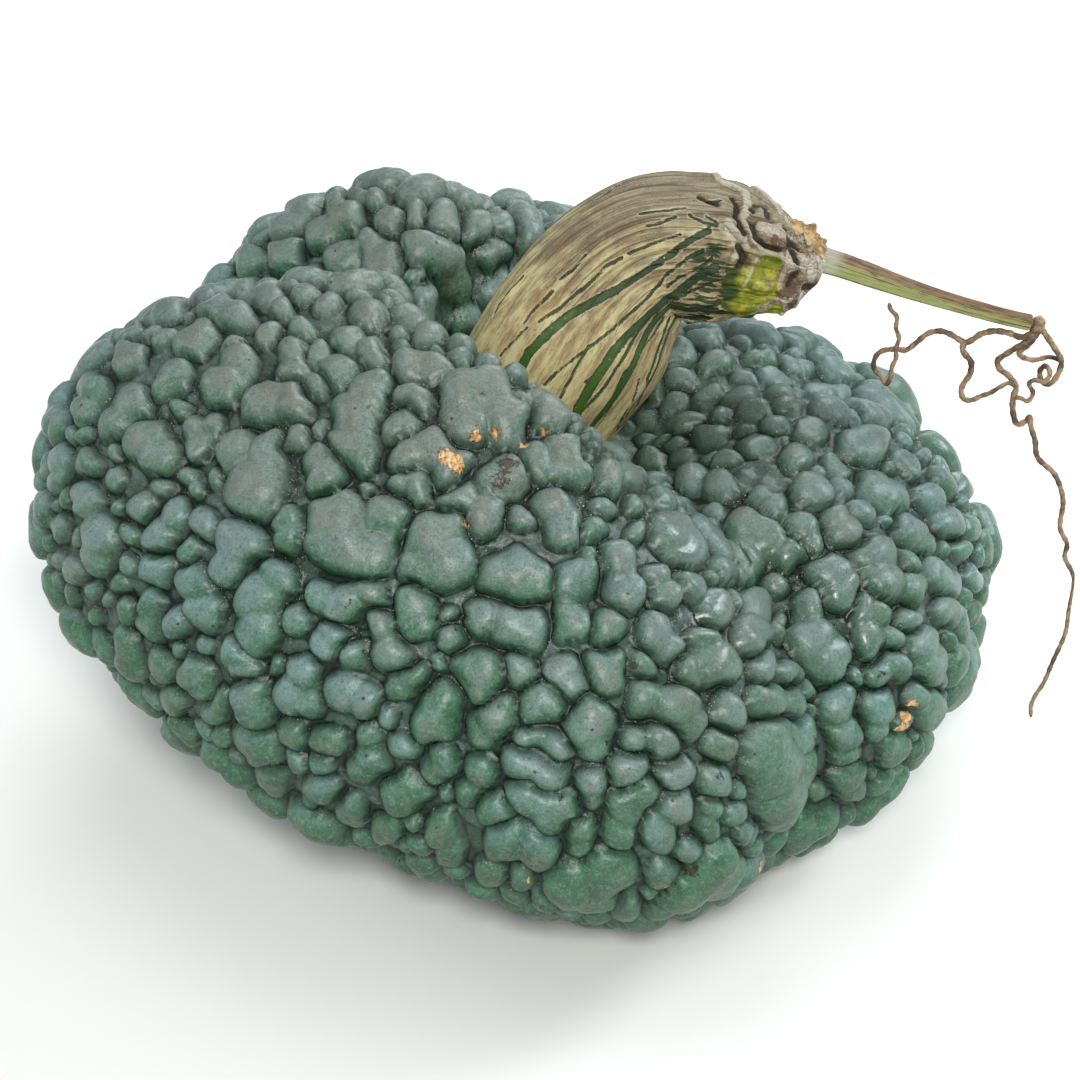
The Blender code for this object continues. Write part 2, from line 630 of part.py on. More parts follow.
def stem_line(count):
    """Middle line, radii and section normals of the stem; its foot lies flat on the hollow's floor."""
    line = curve_through(stations(STEM), count)
    centre, radius = line[:, :3], line[:, 3]
    foot = to_row(np.array([(*PIT_AT, PIT_FLOOR + STEM_GAP)]))[0]
    s = np.linspace(0, 1, count)
    centre = centre + (foot - centre[0]) * (1 - smooth(s / 0.25))[:, None]
    tangent = unit(np.gradient(centre, axis=0))
    end = unit(from_picture(1030, 323, 18) - from_picture(822, 260, 18))
    normal = unit(fruit_axis() * (1 - smooth(s / 0.2))[:, None] + tangent * smooth(s / 0.2)[:, None])
    normal = unit(normal + (end - normal) * smooth((s - 0.9) / 0.09)[:, None])
    return s, centre, radius, normal


def stem_radius(s, turn, radius):
    """Lengthwise ridges, a flared foot and a knobbly end."""
    wander = turn + 0.35 * np.sin(2.2 * s + 1.0)
    ridge = 0.022 * np.cos(5 * wander + 0.6) + 0.013 * np.cos(11 * wander + 2.0 + 2 * s)
    ridge = ridge + 0.009 * np.cos(17 * wander + 5 * s)
    knob = 0.05 * np.cos(3 * turn + 9 * s) * np.cos(7 * turn - 31 * s)
    tail = smooth((s - 0.72) / 0.12) * (1 - smooth((s - 0.93) / 0.05))
    root = 1 - smooth((s - 0.93) / 0.05)
    return radius * (1 + ridge * root + knob * tail)


def sweep(centre, normal, radius_at, sides, start=(0, 1.0, 0)):
    """A closed tube: rings of points round a line, and a middle point at each end."""
    e1 = unit(np.asarray(start) - normal * (normal @ np.asarray(start))[:, None])
    e2 = np.cross(normal, e1)
    turn = np.arange(sides) * 2 * np.pi / sides
    s = np.linspace(0, 1, len(centre))
    r = radius_at(s[:, None], turn[None, :])[..., None]
    rings = centre[:, None] + r * (np.cos(turn)[:, None] * e1[:, None] + np.sin(turn)[:, None] * e2[:, None])
    return close_tube(rings, centre)


def close_tube(rings, centre):
    count, sides = rings.shape[:2]
    points = np.vstack([rings.reshape(-1, 3), centre[0], centre[-1]])
    i, j = np.meshgrid(np.arange(count - 1), np.arange(sides), indexing="ij")
    k = (j + 1) % sides
    quads = np.stack([i * sides + j, i * sides + k, (i + 1) * sides + k, (i + 1) * sides + j], -1)
    quads = quads.reshape(-1, 4)
    j = np.arange(sides)
    k = (j + 1) % sides
    first = np.stack([np.full(sides, len(points) - 2), k, j], 1)
    last = np.stack([np.full(sides, len(points) - 1), (count - 1) * sides + j, (count - 1) * sides + k], 1)
    return points, [*quads.tolist(), *first.tolist(), *last.tolist()]


def carried_rings(centre, radius, sides):
    """Rings along a curling line, each turned as little as possible from the last."""
    tangent = unit(np.gradient(centre, axis=0))
    e1 = unit(np.cross(tangent[0], (0.3, 0.5, 0.8)))
    turn = np.arange(sides) * 2 * np.pi / sides
    rings = []
    for c, t, r in zip(centre, tangent, radius):
        e1 = unit(e1 - t * (t @ e1))
        e2 = np.cross(t, e1)
        rings.append(c + r * (np.cos(turn)[:, None] * e1 + np.sin(turn)[:, None] * e2))
    return np.array(rings)


def keep_off_stem(points, gap):
    """Move points of the skin that lie within the stem, or nearer than the gap, out to its side."""
    _, centre, radius, _ = stem_line(120)
    near = np.flatnonzero(np.linalg.norm(points - centre[20], axis=1) < 110)
    p = points[near]
    d = np.linalg.norm(p[:, None] - centre[None], axis=2) - radius * 1.04 - gap
    k = np.argmin(d, axis=1)
    inside = d[np.arange(len(p)), k] < 0
    above = (p - centre[0]) @ fruit_axis() > 0.05
    i = inside & above
    out = unit(p[i] - centre[k[i]])
    points[near[i]] = centre[k[i]] + out * (radius[k[i]] * 1.04 + gap)[:, None]
    return points


def lower_diagonals(points, quads, height):
    """Two triangles a quad, cut along the diagonal that runs lower, so creases stay unbroken."""
    h = height[quads]
    other = (h[:, 1] + h[:, 3]) < (h[:, 0] + h[:, 2])
    a = np.where(other[:, None], quads[:, (0, 1, 3)], quads[:, (0, 1, 2)])
    b = np.where(other[:, None], quads[:, (1, 2, 3)], quads[:, (0, 2, 3)])
    return np.vstack([a, b])


def fruit_skin(n, warts):
    """The warty skin as points and triangles."""
    u, quads = cube_sphere(n)
    X, N = base_frame(u)
    cell = 2 * np.pi * 140 / (4 * n)
    moved = np.zeros_like(X)
    for _ in range(2):
        _, gap, way, _ = crease_distance(X, N, warts)
        step = np.where(gap < 0.38 * cell, np.minimum(gap, 0.3 * cell), 0)[:, None] * way
        far = np.maximum(np.linalg.norm(moved + step, axis=1), 1e-6)
        step = step * np.minimum(1, 0.4 * cell / far)[:, None]
        X = X + step
        moved = moved + step
    high, _, _, _ = relief(X, N, warts)
    floor = to_row(np.array([(*PIT_AT, PIT_FLOOR)]))[0]
    aside = np.linalg.norm(X - floor, axis=1)
    high = high * smooth(X[:, 2] / REST_FADE) * smooth((aside - 33) / 9)
    P = X + N * high[:, None]
    P[:, 2] = np.maximum(P[:, 2], 0)
    P = keep_off_stem(P, 2.6)
    return P, lower_diagonals(P, quads, high)


def clear_scene():
    for item in list(bpy.data.objects):
        bpy.data.objects.remove(item, do_unlink=True)


def paint(name, colour, roughness):
    material = bpy.data.materials.new(name)
    material.use_nodes = True
    shader = material.node_tree.nodes["Principled BSDF"]
    shader.inputs["Base Color"].default_value = (*colour, 1)
    shader.inputs["Roughness"].default_value = roughness
    shader.inputs["Metallic"].default_value = 0.0
    return material


def make_object(name, points, faces, material):
    mesh = bpy.data.meshes.new(name)
    mesh.from_pydata((np.asarray(points) * MM).tolist(), [], [list(map(int, f)) for f in faces])
    mesh.validate()
    mesh.materials.append(material)
    item = bpy.data.objects.new(name, mesh)
    bpy.context.scene.collection.objects.link(item)
    return item


def round_off(item, angle):
    mesh = item.data
    mesh.shade_smooth()
    mesh.set_sharp_from_angle(angle=angle * DEG)


def bake_modifiers(item):
    graph = bpy.context.evaluated_depsgraph_get()
    mesh = bpy.data.meshes.new_from_object(item.evaluated_get(graph))
    item.modifiers.clear()
    item.data = mesh


def make_fruit(warts, cells=60, wanted=11400):
    points, triangles = fruit_skin(cells, warts)
    item = make_object("squash_fruit", points, triangles, paint("fruit_skin", (0.13, 0.22, 0.185), 0.42))
    thin = item.modifiers.new("thin", "DECIMATE")
    thin.ratio = wanted / len(triangles)
    bake_modifiers(item)
    round_off(item, 60)
    return item


def make_stem():
    s, centre, radius, normal = stem_line(44)
    points, faces = sweep(centre, normal, lambda a, t: stem_radius(a, t, radius[:, None]), 32)
    item = make_object("peduncle", points, faces, paint("cork", (0.50, 0.42, 0.29), 0.8))
    round_off(item, 50)
    return item


def make_stalk():
    line = curve_through(stations(STALK), 18)
    centre, radius = line[:, :3], line[:, 3]
    normal = unit(np.gradient(centre, axis=0))
    normal[:] = unit(centre[-1] - centre[0])
    points, faces = sweep(centre, normal,
                          lambda a, t: radius[:, None] * (1 + 0.06 * np.cos(5 * t + 0.4 * a)), 15)
    item = make_object("vine_stalk", points, faces, paint("dry_vine", (0.30, 0.26, 0.13), 0.7))
    round_off(item, 50)
    return item


def strand_points(rows, thick, sides):
    line = curve_through([from_picture(*row) for row in rows], max(12, 2 * len(rows)))
    s = np.linspace(0, 1, len(line))
    radius = (thick + (STRAND_TIP - thick) * smooth(s)) * MM_PER_PX
    radius[-1] *= 0.5
    rings = carried_rings(line, radius, sides)
    return close_tube(rings, line)


def knot_points(sides=10):
    """The swollen end of the stalk, one ball drawn out along it."""
    a = from_picture(1033, 324, 18)
    b = from_picture(1044, 328, 18)
    way = unit(b - a)
    s = np.linspace(0, 1, 8)
    centre = a + (b - a) * s[:, None]
    radius = MM_PER_PX * (7.5 + 2.0 * np.sin(np.pi * s) - 5.0 * smooth((s - 0.7) / 0.3))
    normal = np.repeat(way[None], 8, 0)
    return sweep(centre, normal, lambda a_, t: radius[:, None] + 0 * t, sides)


def make_tendrils():
    material = paint("dry_tendril", (0.33, 0.26, 0.18), 0.75)
    body = make_object("tendrils", *knot_points(), material)
    group = bpy.data.collections.new("strands")
    bpy.context.scene.collection.children.link(group)
    for key, rows in STRANDS.items():
        strand = make_object("strand_" + key, *strand_points(rows, STRAND_RADIUS, 6), material)
        bpy.context.scene.collection.objects.unlink(strand)
        group.objects.link(strand)
    join = body.modifiers.new("join", "BOOLEAN")
    join.operation = "UNION"
    join.operand_type = "COLLECTION"
    join.collection = group
    join.solver = "EXACT"
    join.use_self = True
    bake_modifiers(body)
    for strand in list(group.objects):
        bpy.data.objects.remove(strand, do_unlink=True)
    bpy.data.collections.remove(group)
    round_off(body, 50)
    return body


clear_scene()
make_fruit(plant_warts())
make_stem()
make_stalk()
make_tendrils()
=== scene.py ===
"""The looks of a winter squash: warty waxy rind, ridged cork stem, grooved vine and dry tendrils."""

import bpy
import numpy as np
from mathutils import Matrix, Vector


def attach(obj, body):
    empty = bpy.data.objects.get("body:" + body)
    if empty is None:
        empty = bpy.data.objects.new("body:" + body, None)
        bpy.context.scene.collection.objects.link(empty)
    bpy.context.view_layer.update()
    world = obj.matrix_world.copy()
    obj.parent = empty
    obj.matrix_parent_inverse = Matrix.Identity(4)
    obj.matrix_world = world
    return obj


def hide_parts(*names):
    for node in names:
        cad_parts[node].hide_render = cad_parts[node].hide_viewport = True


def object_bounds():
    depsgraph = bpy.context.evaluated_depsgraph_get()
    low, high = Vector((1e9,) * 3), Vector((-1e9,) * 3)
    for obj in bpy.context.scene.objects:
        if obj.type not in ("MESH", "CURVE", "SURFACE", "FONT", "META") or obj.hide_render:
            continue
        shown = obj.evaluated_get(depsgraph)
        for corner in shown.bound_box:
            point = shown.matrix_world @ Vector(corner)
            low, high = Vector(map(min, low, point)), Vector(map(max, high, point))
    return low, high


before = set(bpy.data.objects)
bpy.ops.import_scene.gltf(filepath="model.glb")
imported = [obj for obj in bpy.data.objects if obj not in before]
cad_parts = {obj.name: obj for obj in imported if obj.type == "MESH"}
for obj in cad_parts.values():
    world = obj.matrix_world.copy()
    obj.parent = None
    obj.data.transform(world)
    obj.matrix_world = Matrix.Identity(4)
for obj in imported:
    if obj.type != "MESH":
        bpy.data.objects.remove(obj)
cad_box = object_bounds()

# lengths are millimetres until a mesh is made; +X is the side the stem leans to, -Y the front
MM = 0.001
DEG = np.pi / 180

# the fruit's form without its warts: values at every 30 degrees round its own axis from the right
PLAN = (132, 134, 131, 130, 140, 149, 157, 151, 141, 146, 145, 131)
TOP = (57, 52, 52, 62, 76, 78, 78, 86, 98, 86, 66, 62)
BOTTOM = (64, 70, 78, 82, 84, 86, 86, 78, 76, 79, 90, 81)
SQUARE = 2.25
BUTTON_AT = (-1.5, -8.0)
BUTTON_DEEP, BUTTON_WIDTH = 9.0, 50.0
LEAN = 12.0
HEART = np.array((16.0, 6.0, 78.0))
VALLEYS = ((-50, 23, 14), (158, 34, 15), (58, 22, 16), (-15, 5, 10), (18, 5, 10),
           (-95, 3, 10), (-140, 3, 10), (105, 5, 10))
VALLEY_DIP = 0.9
VALLEY_UNDER = 0.35
CORE = 30.0
KEEL_EASE = 60.0
SETTLED_WIDTH = 80.0

# the hollow the stem stands in
PIT_AT = (-20.0, 2.0)
PIT_FLOOR = 24.0
PIT_FLAT = 34.0
PIT_WALL = (32, 26, 20, 14, 12, 10, 9, 9, 13, 24, 38, 38)
PIT_EASE = 42.0

# warts: how large they grow by the angle from the top in radians, and how finely places are tried
WART_SEED = 7
TINT_SEED = 11
WART_SIZES = (12.5, 11.0, 9.6, 8.4, 7.2, 6.1, 5.1, 4.2, 3.4, 2.7)
WART_TIPS = (0, 0.25, 0.5, 0.8, 1.2, 1.7, 2.2, 2.7, 3.14)
WART_LIMITS = (4, 5, 7.5, 12.5, 13.5, 12.5, 9.5, 8, 7)
WART_PLACES = 30000
LONE_WART = 5.5

# their relief
WART_REACH = 0.8
WART_RISE = 0.7
WART_LIFT = 2.2
BARE_LIFT = 0.9
BLEND = 1.0
VALLEY_SHARE = 0.22
SHOULDER = 3.1
WANDER = 0.7
WANDER_SIZE = 11.0
CORNER = 0.75
CORNER_SLOPE = 1.3
FOLD_DEPTH = 1.5
FOLD_WIDTH = 1.5
FOLD_REACH = 3.5

# the rind's mesh
REST_FADE = 10.0
SWELL, SWELL_WIDTH = 0.65, 1.3
MEAN_RADIUS = 140.0
SOFT_STOP = 1.5
RIND_TRIANGLES = 196000

# where the photograph was taken from, and how it is scaled
EYE_TURN = 35 * DEG
DISTANCE = 900.0
AIM = np.array((0.0, 0.0, 70.0))
AIM_X, AIM_Y = 510.0, 548.0
PICTURE = 1080.0
MM_PER_PX = 0.308
RIGHT = np.array((1.0, 0.0, 0.0))
UP = np.array((0.0, np.sin(EYE_TURN), np.cos(EYE_TURN)))
BACK = np.array((0.0, -np.cos(EYE_TURN), np.sin(EYE_TURN)))
EYE = AIM + BACK * DISTANCE

# how a place in the photograph is found on a surface: least facing, search widths in pixels, depth in mm
EDGE_ON = 0.05
CLOSE_PX, WIDE_PX = 7, 25
CLOSE_SPOT_PX, WIDE_SPOT_PX = 8, 30
FRONT_DEPTH = 15.0

# the stem: middle of each station in the photograph, its depth in mm and its half width in pixels
STEM = ((514, 438, 8, 84), (531, 406, 8, 87), (548, 377, 9, 89), (577, 335, 10, 92), (600, 299, 12, 86),
        (622, 271, 13, 78), (650, 251, 14, 72), (683, 248, 15, 72), (714, 251, 16, 70),
        (741, 257, 16, 65), (762, 263, 17, 56), (779, 269, 17, 47), (794, 272, 18, 38),
        (807, 270, 18, 30), (819, 266, 18, 22))
STEM_GAP = 0.3
STEM_SPREAD = 1.04
RIND_GAP = 0.8
STALK = ((822, 260, 18, 12.5), (842, 266, 18, 12), (868, 275, 18, 11.5), (905, 288, 18, 10),
         (950, 302, 18, 8.5), (1000, 316, 18, 8), (1030, 323, 18, 8))

# tendrils: x, y in the photograph, depth in mm; the first point of each lies in the body they share
STRANDS = {
    "A": ((1041, 328, 18), (1023, 337, 17), (1009, 333, 16), (995, 331, 15), (981, 334, 15),
          (972, 340, 15), (964, 342, 15), (950, 334, 16), (939, 331, 17), (927, 334, 18),
          (916, 343, 18), (906, 350, 17), (895, 349, 16), (882, 351, 17), (875, 358, 18),
          (874, 369, 18), (881, 376, 17), (886, 384, 15), (890, 379, 13), (892, 367, 13),
          (896, 358, 13), (896, 349, 12.5), (899, 338, 14), (896, 328, 16), (897, 317, 17),
          (891, 310, 18), (889, 303, 18)),
    "B": ((964, 342, 15), (963, 351, 14), (971, 362, 13), (970, 374, 14), (964, 383, 15),
          (961, 391, 13), (964, 399, 12), (972, 400, 14), (981, 396, 15), (990, 393, 13),
          (1000, 387, 12), (1009, 383, 13), (1016, 387, 15)),
    "C": ((1041, 328, 18), (1027, 341, 20), (1011, 351, 21), (998, 360, 20), (1000, 369, 18),
          (1009, 376, 16), (1016, 387, 15), (1013, 398, 14), (1013, 412, 13), (1017, 424, 14),
          (1026, 421, 15), (1030, 417, 13), (1031, 427, 11), (1035, 440, 9), (1038, 458, 8),
          (1055, 475, 7), (1063, 500, 6), (1060, 527, 5), (1067, 544, 4), (1065, 558, 3),
          (1074, 579, 2), (1069, 610, 0), (1065, 634, -2), (1053, 661, -4), (1044, 682, -6),
          (1035, 696, -8), (1031, 706, -9), (1031, 717, -10)),
    "D": ((1041, 328, 18), (1054, 347, 15), (1061, 360, 13), (1059, 372, 12), (1051, 383, 12),
          (1042, 382, 14), (1040, 371, 15), (1046, 366, 12), (1050, 374, 10), (1044, 382, 9),
          (1035, 380, 11), (1029, 384, 13), (1033, 393, 12), (1028, 401, 11), (1020, 398, 13),
          (1013, 398, 14)),
    "E": ((1041, 328, 18), (1030, 343, 22), (1019, 354, 24), (1033, 360, 25), (1049, 357, 23),
          (1060, 360, 14)),
}
KNOT = ((1033, 324, 18), (1044, 328, 18))
STRAND_RADIUS = 3.1
STRAND_TIP = 2.2

# the bract's middle line, read in the same way
BRACT = ((787, 222, 18), (796, 226, 16.5), (806, 231, 15.5), (813, 238, 15), (819, 247, 14.5),
         (823, 258, 13.5))
BRACT_WIDTH = 2.2

# stripes of the stem's unseen sides, in degrees round it, and the relief of all its lines in mm
BACK_SEED = 21
BACK_STRIPES = (200, 420)
BACK_STEP = 17
BACK_HALVES = (0.5, 0.6, 1.5)
RIDGE_WIDTH, RIDGE_HIGH = 0.75, 1.0
CREVICE_WIDTH, CREVICE_DEEP = 0.7, 1.6
STRIPE_WIDTH, STRIPE_DEEP = 0.4, 0.35

# colours as shares of red, green and blue light
GREEN_DEEP = (0.036, 0.110, 0.058)
GREEN_PALE = (0.076, 0.182, 0.106)
# waxy bloom with a painted sky reflection, laid on faces that look up, on wart crowns and high on the
# fruit, warmer near the top
BLOOM_SKY_BLUE = (0.156, 0.242, 0.246)
BLOOM_SKY_GREY = (0.164, 0.228, 0.218)
BLOOM_SKY_WARM = (0.134, 0.158, 0.142)
CRUST_BROWN = (0.060, 0.038, 0.022)
# painted shade on the right lobe's top, beside the stem
RIGHT_TOP_SHADE_GREY = (0.090, 0.112, 0.096)
# painted shade in the groove right of the stem
SUNKEN_SHADE_COLOUR = (0.060, 0.080, 0.062)
# painted shade: the dark green of faces that look down
PAINTED_SHADE_GREEN = (0.016, 0.052, 0.026)
SKIN_LIGHT = (0.235, 0.320, 0.284)
SKIN_DARK = (0.044, 0.092, 0.062)
# bare skin low between the warts: partly its own darker tone, partly painted shade in the valleys
SKIN_BARE_SHADED = (0.038, 0.060, 0.052)
# painted shade: dark green at the foot of each wart, near the crease
CREASE_SHADE_GREEN = (0.018, 0.044, 0.026)
RUSSET_BROWN = (0.172, 0.117, 0.078)
SPECK_BROWN = (0.040, 0.030, 0.020)
# painted shade as a near-black line along the creases; also the dark flecks in scabs
CREASE_SHADE_AND_SCAB_BLACK = (0.008, 0.012, 0.010)
CRUMB_WHITE = (0.600, 0.620, 0.580)
SCAB_ORANGE = (0.450, 0.220, 0.070)
SCAB_CREAM = (0.650, 0.500, 0.300)
CORK_CREAM = (0.510, 0.455, 0.255)
CORK_TAN = (0.370, 0.285, 0.145)
CORK_BROWN = (0.190, 0.125, 0.065)
# grey weathered top, darkened further as painted shade
CORK_GREY = (0.205, 0.176, 0.128)
CORK_DARK = (0.110, 0.092, 0.070)
CRACK_BROWN = (0.100, 0.060, 0.035)
STRIPE_GREEN = (0.036, 0.105, 0.008)
STRIPE_DARK = (0.014, 0.040, 0.012)
FRESH_YELLOW = (0.360, 0.330, 0.035)
FRESH_GREEN = (0.140, 0.165, 0.008)
TIP_WHITE = (0.500, 0.480, 0.410)
TIP_BROWN = (0.230, 0.160, 0.095)
BRACT_TAN = (0.550, 0.420, 0.240)
BRACT_BROWN = (0.280, 0.180, 0.090)
VINE_OLIVE = (0.270, 0.300, 0.110)
VINE_PALE = (0.420, 0.430, 0.220)
VINE_BROWN = (0.200, 0.120, 0.060)
VINE_DARK = (0.090, 0.060, 0.035)
VINE_ROOT = (0.450, 0.470, 0.420)
TENDRIL_TAN = (0.320, 0.225, 0.140)
TENDRIL_BROWN = (0.105, 0.070, 0.045)
FLOOR_PALE = (0.800, 0.800, 0.790)
CORK_ORANGE = (0.420, 0.260, 0.120)
RIM_CREAM = (0.660, 0.580, 0.420)
FLECK_WHITE = (0.620, 0.680, 0.560)
FRESH_PALE = (0.560, 0.560, 0.260)
FRESH_DARK = (0.030, 0.062, 0.006)
ROT_BROWN = (0.110, 0.055, 0.028)
# the stem's foot: its own pale cream, made paler as painted light where the foot lies in shade
FOOT_CREAM_LIT = (0.550, 0.545, 0.290)
STAIN_DARK = (0.070, 0.062, 0.040)
CREVICE_DARK = (0.045, 0.030, 0.020)

# the studio: lights as place and width in metres, power in watts and tint
FLOOR_REACH = 6.0
LIT_POINT = (0.0, 0.0, 0.07)
SKY_TINT = (0.93, 0.97, 1.0)
SKY_STRENGTH = 0.26
LIGHTS = {
    "window": ((1.15, 0.35, 0.90), 0.5, 10.0, (0.90, 0.97, 1.0)),
    "left_window": ((-1.2, 0.30, 0.85), 0.6, 4.0, (0.90, 0.97, 1.0)),
    "top": ((-0.05, 0.25, 1.70), 0.9, 5.5, (0.97, 1.0, 1.0)),
    "front": ((0.05, -1.20, 1.10), 0.35, 18.0, (1.0, 0.99, 0.96)),
    "back": ((0.40, 1.25, 0.90), 0.6, 6.0, (0.97, 1.0, 1.0)),
}

# places read off the photograph: x and y in pixels, then a radius in mm
SCABS = ((476, 437, 2.6), (449, 456, 4.0), (495, 434, 2.2), (524, 445, 2.0), (546, 432, 2.2),
         (465, 523, 2.2), (459, 467, 3.0), (912, 707, 2.6), (903, 732, 3.4), (905, 716, 2.6),
         (578, 812, 1.6), (668, 889, 2.0), (768, 868, 3.0), (526, 880, 1.8), (602, 872, 2.2))
CRUSTS = ((606, 742, 1.6), (675, 759, 1.8), (721, 778, 1.8), (814, 698, 2.0), (817, 742, 2.4),
          (880, 673, 1.6), (347, 603, 1.4), (425, 551, 1.4), (632, 664, 1.6), (508, 464, 3.5),
          (379, 509, 1.2), (500, 480, 3.0), (560, 800, 1.5), (690, 870, 3.0), (640, 900, 2.5),
          (300, 560, 1.2), (240, 470, 1.3))
RUSSET = ((272, 386, 5.5), (361, 388, 3.5), (349, 418, 3.2), (323, 523, 4.0), (430, 357, 5.5),
          (500, 386, 6.5), (466, 385, 5.5), (234, 352, 5.0), (291, 398, 4.0), (228, 490, 4.0),
          (448, 432, 4.0), (414, 360, 4.0), (566, 455, 4.0), (519, 470, 4.5), (333, 215, 7.0),
          (405, 240, 7.0), (455, 275, 7.0), (350, 262, 6.0))
DUST = ((295, 480, 9.0), (460, 580, 9.0), (590, 450, 9.0), (330, 500, 6.0), (540, 560, 8.0),
        (760, 470, 14.0), (700, 470, 10.0), (820, 400, 16.0), (700, 400, 16.0), (540, 690, 8.0),
        (380, 480, 6.0), (600, 600, 8.0), (180, 340, 14.0), (300, 300, 14.0), (480, 640, 7.0))
GLOSSY = ((700, 560, 12.0), (716, 610, 11.0), (690, 530, 11.0), (735, 650, 10.0), (790, 560, 9.0),
          (850, 600, 9.0), (860, 650, 9.0), (960, 470, 14.0), (975, 560, 12.0))
SPECKLED = ((596, 890, 7.0), (668, 889, 5.0), (570, 905, 5.0))
# the groove right of the stem: its warts are lowered, and its colour is darkened as painted shade
SUNKEN_SHADED = ((655, 425, 13.0), (700, 405, 13.0), (750, 395, 13.0), (800, 395, 11.0), (690, 455, 14.0),
          (745, 435, 13.0), (800, 430, 11.0), (640, 470, 10.0), (615, 455, 8.0), (650, 505, 7.0))
BARE_SKIN = ((545, 510, 6.0), (465, 600, 4.0), (500, 560, 4.0), (760, 470, 8.0))

# stripes of the stem as they run in the photograph from foot to tip: half width in mm, then x, y in pixels
STRIPES = (
    (1.25, ((520, 368), (528, 354), (545, 336), (567, 318), (590, 304), (615, 291))),
    (0.9, ((615, 291), (645, 271), (668, 256), (690, 241), (709, 230))),
    (1.45, ((572, 430), (579, 407), (590, 390), (598, 376), (615, 351))),
    (1.3, ((615, 351), (631, 334), (645, 320), (660, 305), (674, 296), (700, 276), (716, 268))),
    (0.3, ((500, 356), (509, 344), (526, 327))),
    (0.35, ((538, 322), (560, 308), (571, 299), (586, 286), (606, 267), (622, 258))),
    (0.25, ((628, 254), (640, 248), (660, 240), (681, 235))),
    (0.3, ((493, 318), (499, 303), (511, 288), (523, 276))),
    (0.35, ((533, 312), (545, 299), (552, 292))),
    (0.2, ((524, 324), (533, 312))),
    (0.25, ((560, 280), (573, 268), (586, 254))),
    (0.3, ((545, 386), (555, 373), (573, 360), (596, 344), (611, 332), (628, 315), (646, 300), (659, 286))),
    (0.45, ((659, 286), (668, 273), (688, 259), (704, 250))),
    (0.35, ((560, 398), (567, 383), (578, 365), (589, 347))),
    (0.3, ((586, 383), (598, 372), (608, 360), (620, 352))),
    (0.4, ((606, 417), (613, 396), (625, 373), (640, 355), (654, 335), (664, 318))),
    (0.25, ((632, 425), (634, 402), (640, 380))),
    (0.45, ((642, 410), (649, 378), (659, 350), (668, 325), (676, 310))),
    (0.35, ((618, 432), (622, 420), (628, 410))),
    (0.3, ((596, 199), (610, 190), (618, 183))),
    (0.4, ((668, 287), (680, 277), (700, 268), (712, 258))),
    (0.35, ((672, 302), (690, 292), (706, 286), (722, 280))),
    (0.35, ((690, 215), (704, 222), (718, 226))),
    (0.3, ((646, 226), (662, 222), (676, 216))),
    (0.3, ((640, 214), (668, 210), (686, 207))),
    (0.4, ((706, 216), (714, 221), (722, 229))),
    (0.3, ((700, 198), (712, 200), (722, 199))),
)

# ridges of pale bark and dark crevices round the stem's end, in the same way
BARK_RIDGES = (
    (0.9, ((716, 177), (724, 184), (736, 188), (745, 195), (748, 205), (747, 212), (741, 219))),
    (0.6, ((741, 219), (747, 229), (755, 240), (766, 251), (780, 254))),
    (1.0, ((756, 190), (770, 198), (778, 209), (789, 223), (802, 232))),
    (0.8, ((802, 232), (812, 246), (822, 264), (826, 280), (822, 290))),
    (1.9, ((763, 228), (772, 231), (781, 232))),
    (0.3, ((788, 268), (796, 262), (802, 268))),
    (0.5, ((733, 258), (738, 250), (746, 247))),
    (0.1, ((757, 258), (751, 271), (747, 281), (742, 286))),
    (0.3, ((780, 255), (786, 264), (783, 274), (778, 284), (783, 296), (786, 306), (783, 319))),
    (1.2, ((800, 258), (808, 268), (812, 276))),
    (0.6, ((786, 296), (796, 304), (798, 300))),
    (0.5, ((727, 222), (736, 232), (744, 240))),
    (0.4, ((720, 226), (730, 238), (738, 250))),
)
CREVICES = (
    (0.5, ((752, 211), (757, 204), (765, 207), (769, 216))),
    (0.4, ((751, 225), (756, 236), (766, 245), (780, 249), (792, 243))),
    (0.4, ((792, 250), (796, 262), (798, 274), (790, 286))),
    (0.7, ((804, 288), (812, 287), (821, 285))),
    (0.4, ((738, 246), (744, 256), (740, 266))),
    (0.3, ((732, 196), (738, 206), (736, 218), (744, 232))),
    (0.3, ((700, 196), (708, 200), (718, 202))),
    (0.3, ((784, 228), (790, 240), (800, 250))),
)

# patches of the stem: x and y in pixels, then a radius in mm
FRESH = ((742, 282, 6.5), (765, 298, 6.5), (738, 305, 5.5), (770, 268, 5.0), (752, 308, 5.0),
         (756, 276, 5.5), (775, 312, 4.0), (730, 314, 4.0))
MOTTLED = ((706, 290, 5.5), (716, 276, 6.0), (712, 304, 5.5), (700, 262, 4.0), (726, 292, 4.5),
           (716, 252, 4.0), (704, 318, 5.0), (722, 316, 4.5), (730, 272, 3.5))
ROTTEN = ((789, 290, 2.6), (792, 302, 2.4), (781, 293, 1.8), (745, 261, 2.4), (794, 276, 1.8),
          (814, 286, 1.8), (775, 240, 1.6), (788, 246, 1.8))
TAN_PATCHES = ((590, 215, 9.0), (540, 300, 10.0), (640, 210, 8.0), (560, 250, 8.0), (625, 225, 8.0),
               (745, 246, 4.0), (790, 262, 3.0))

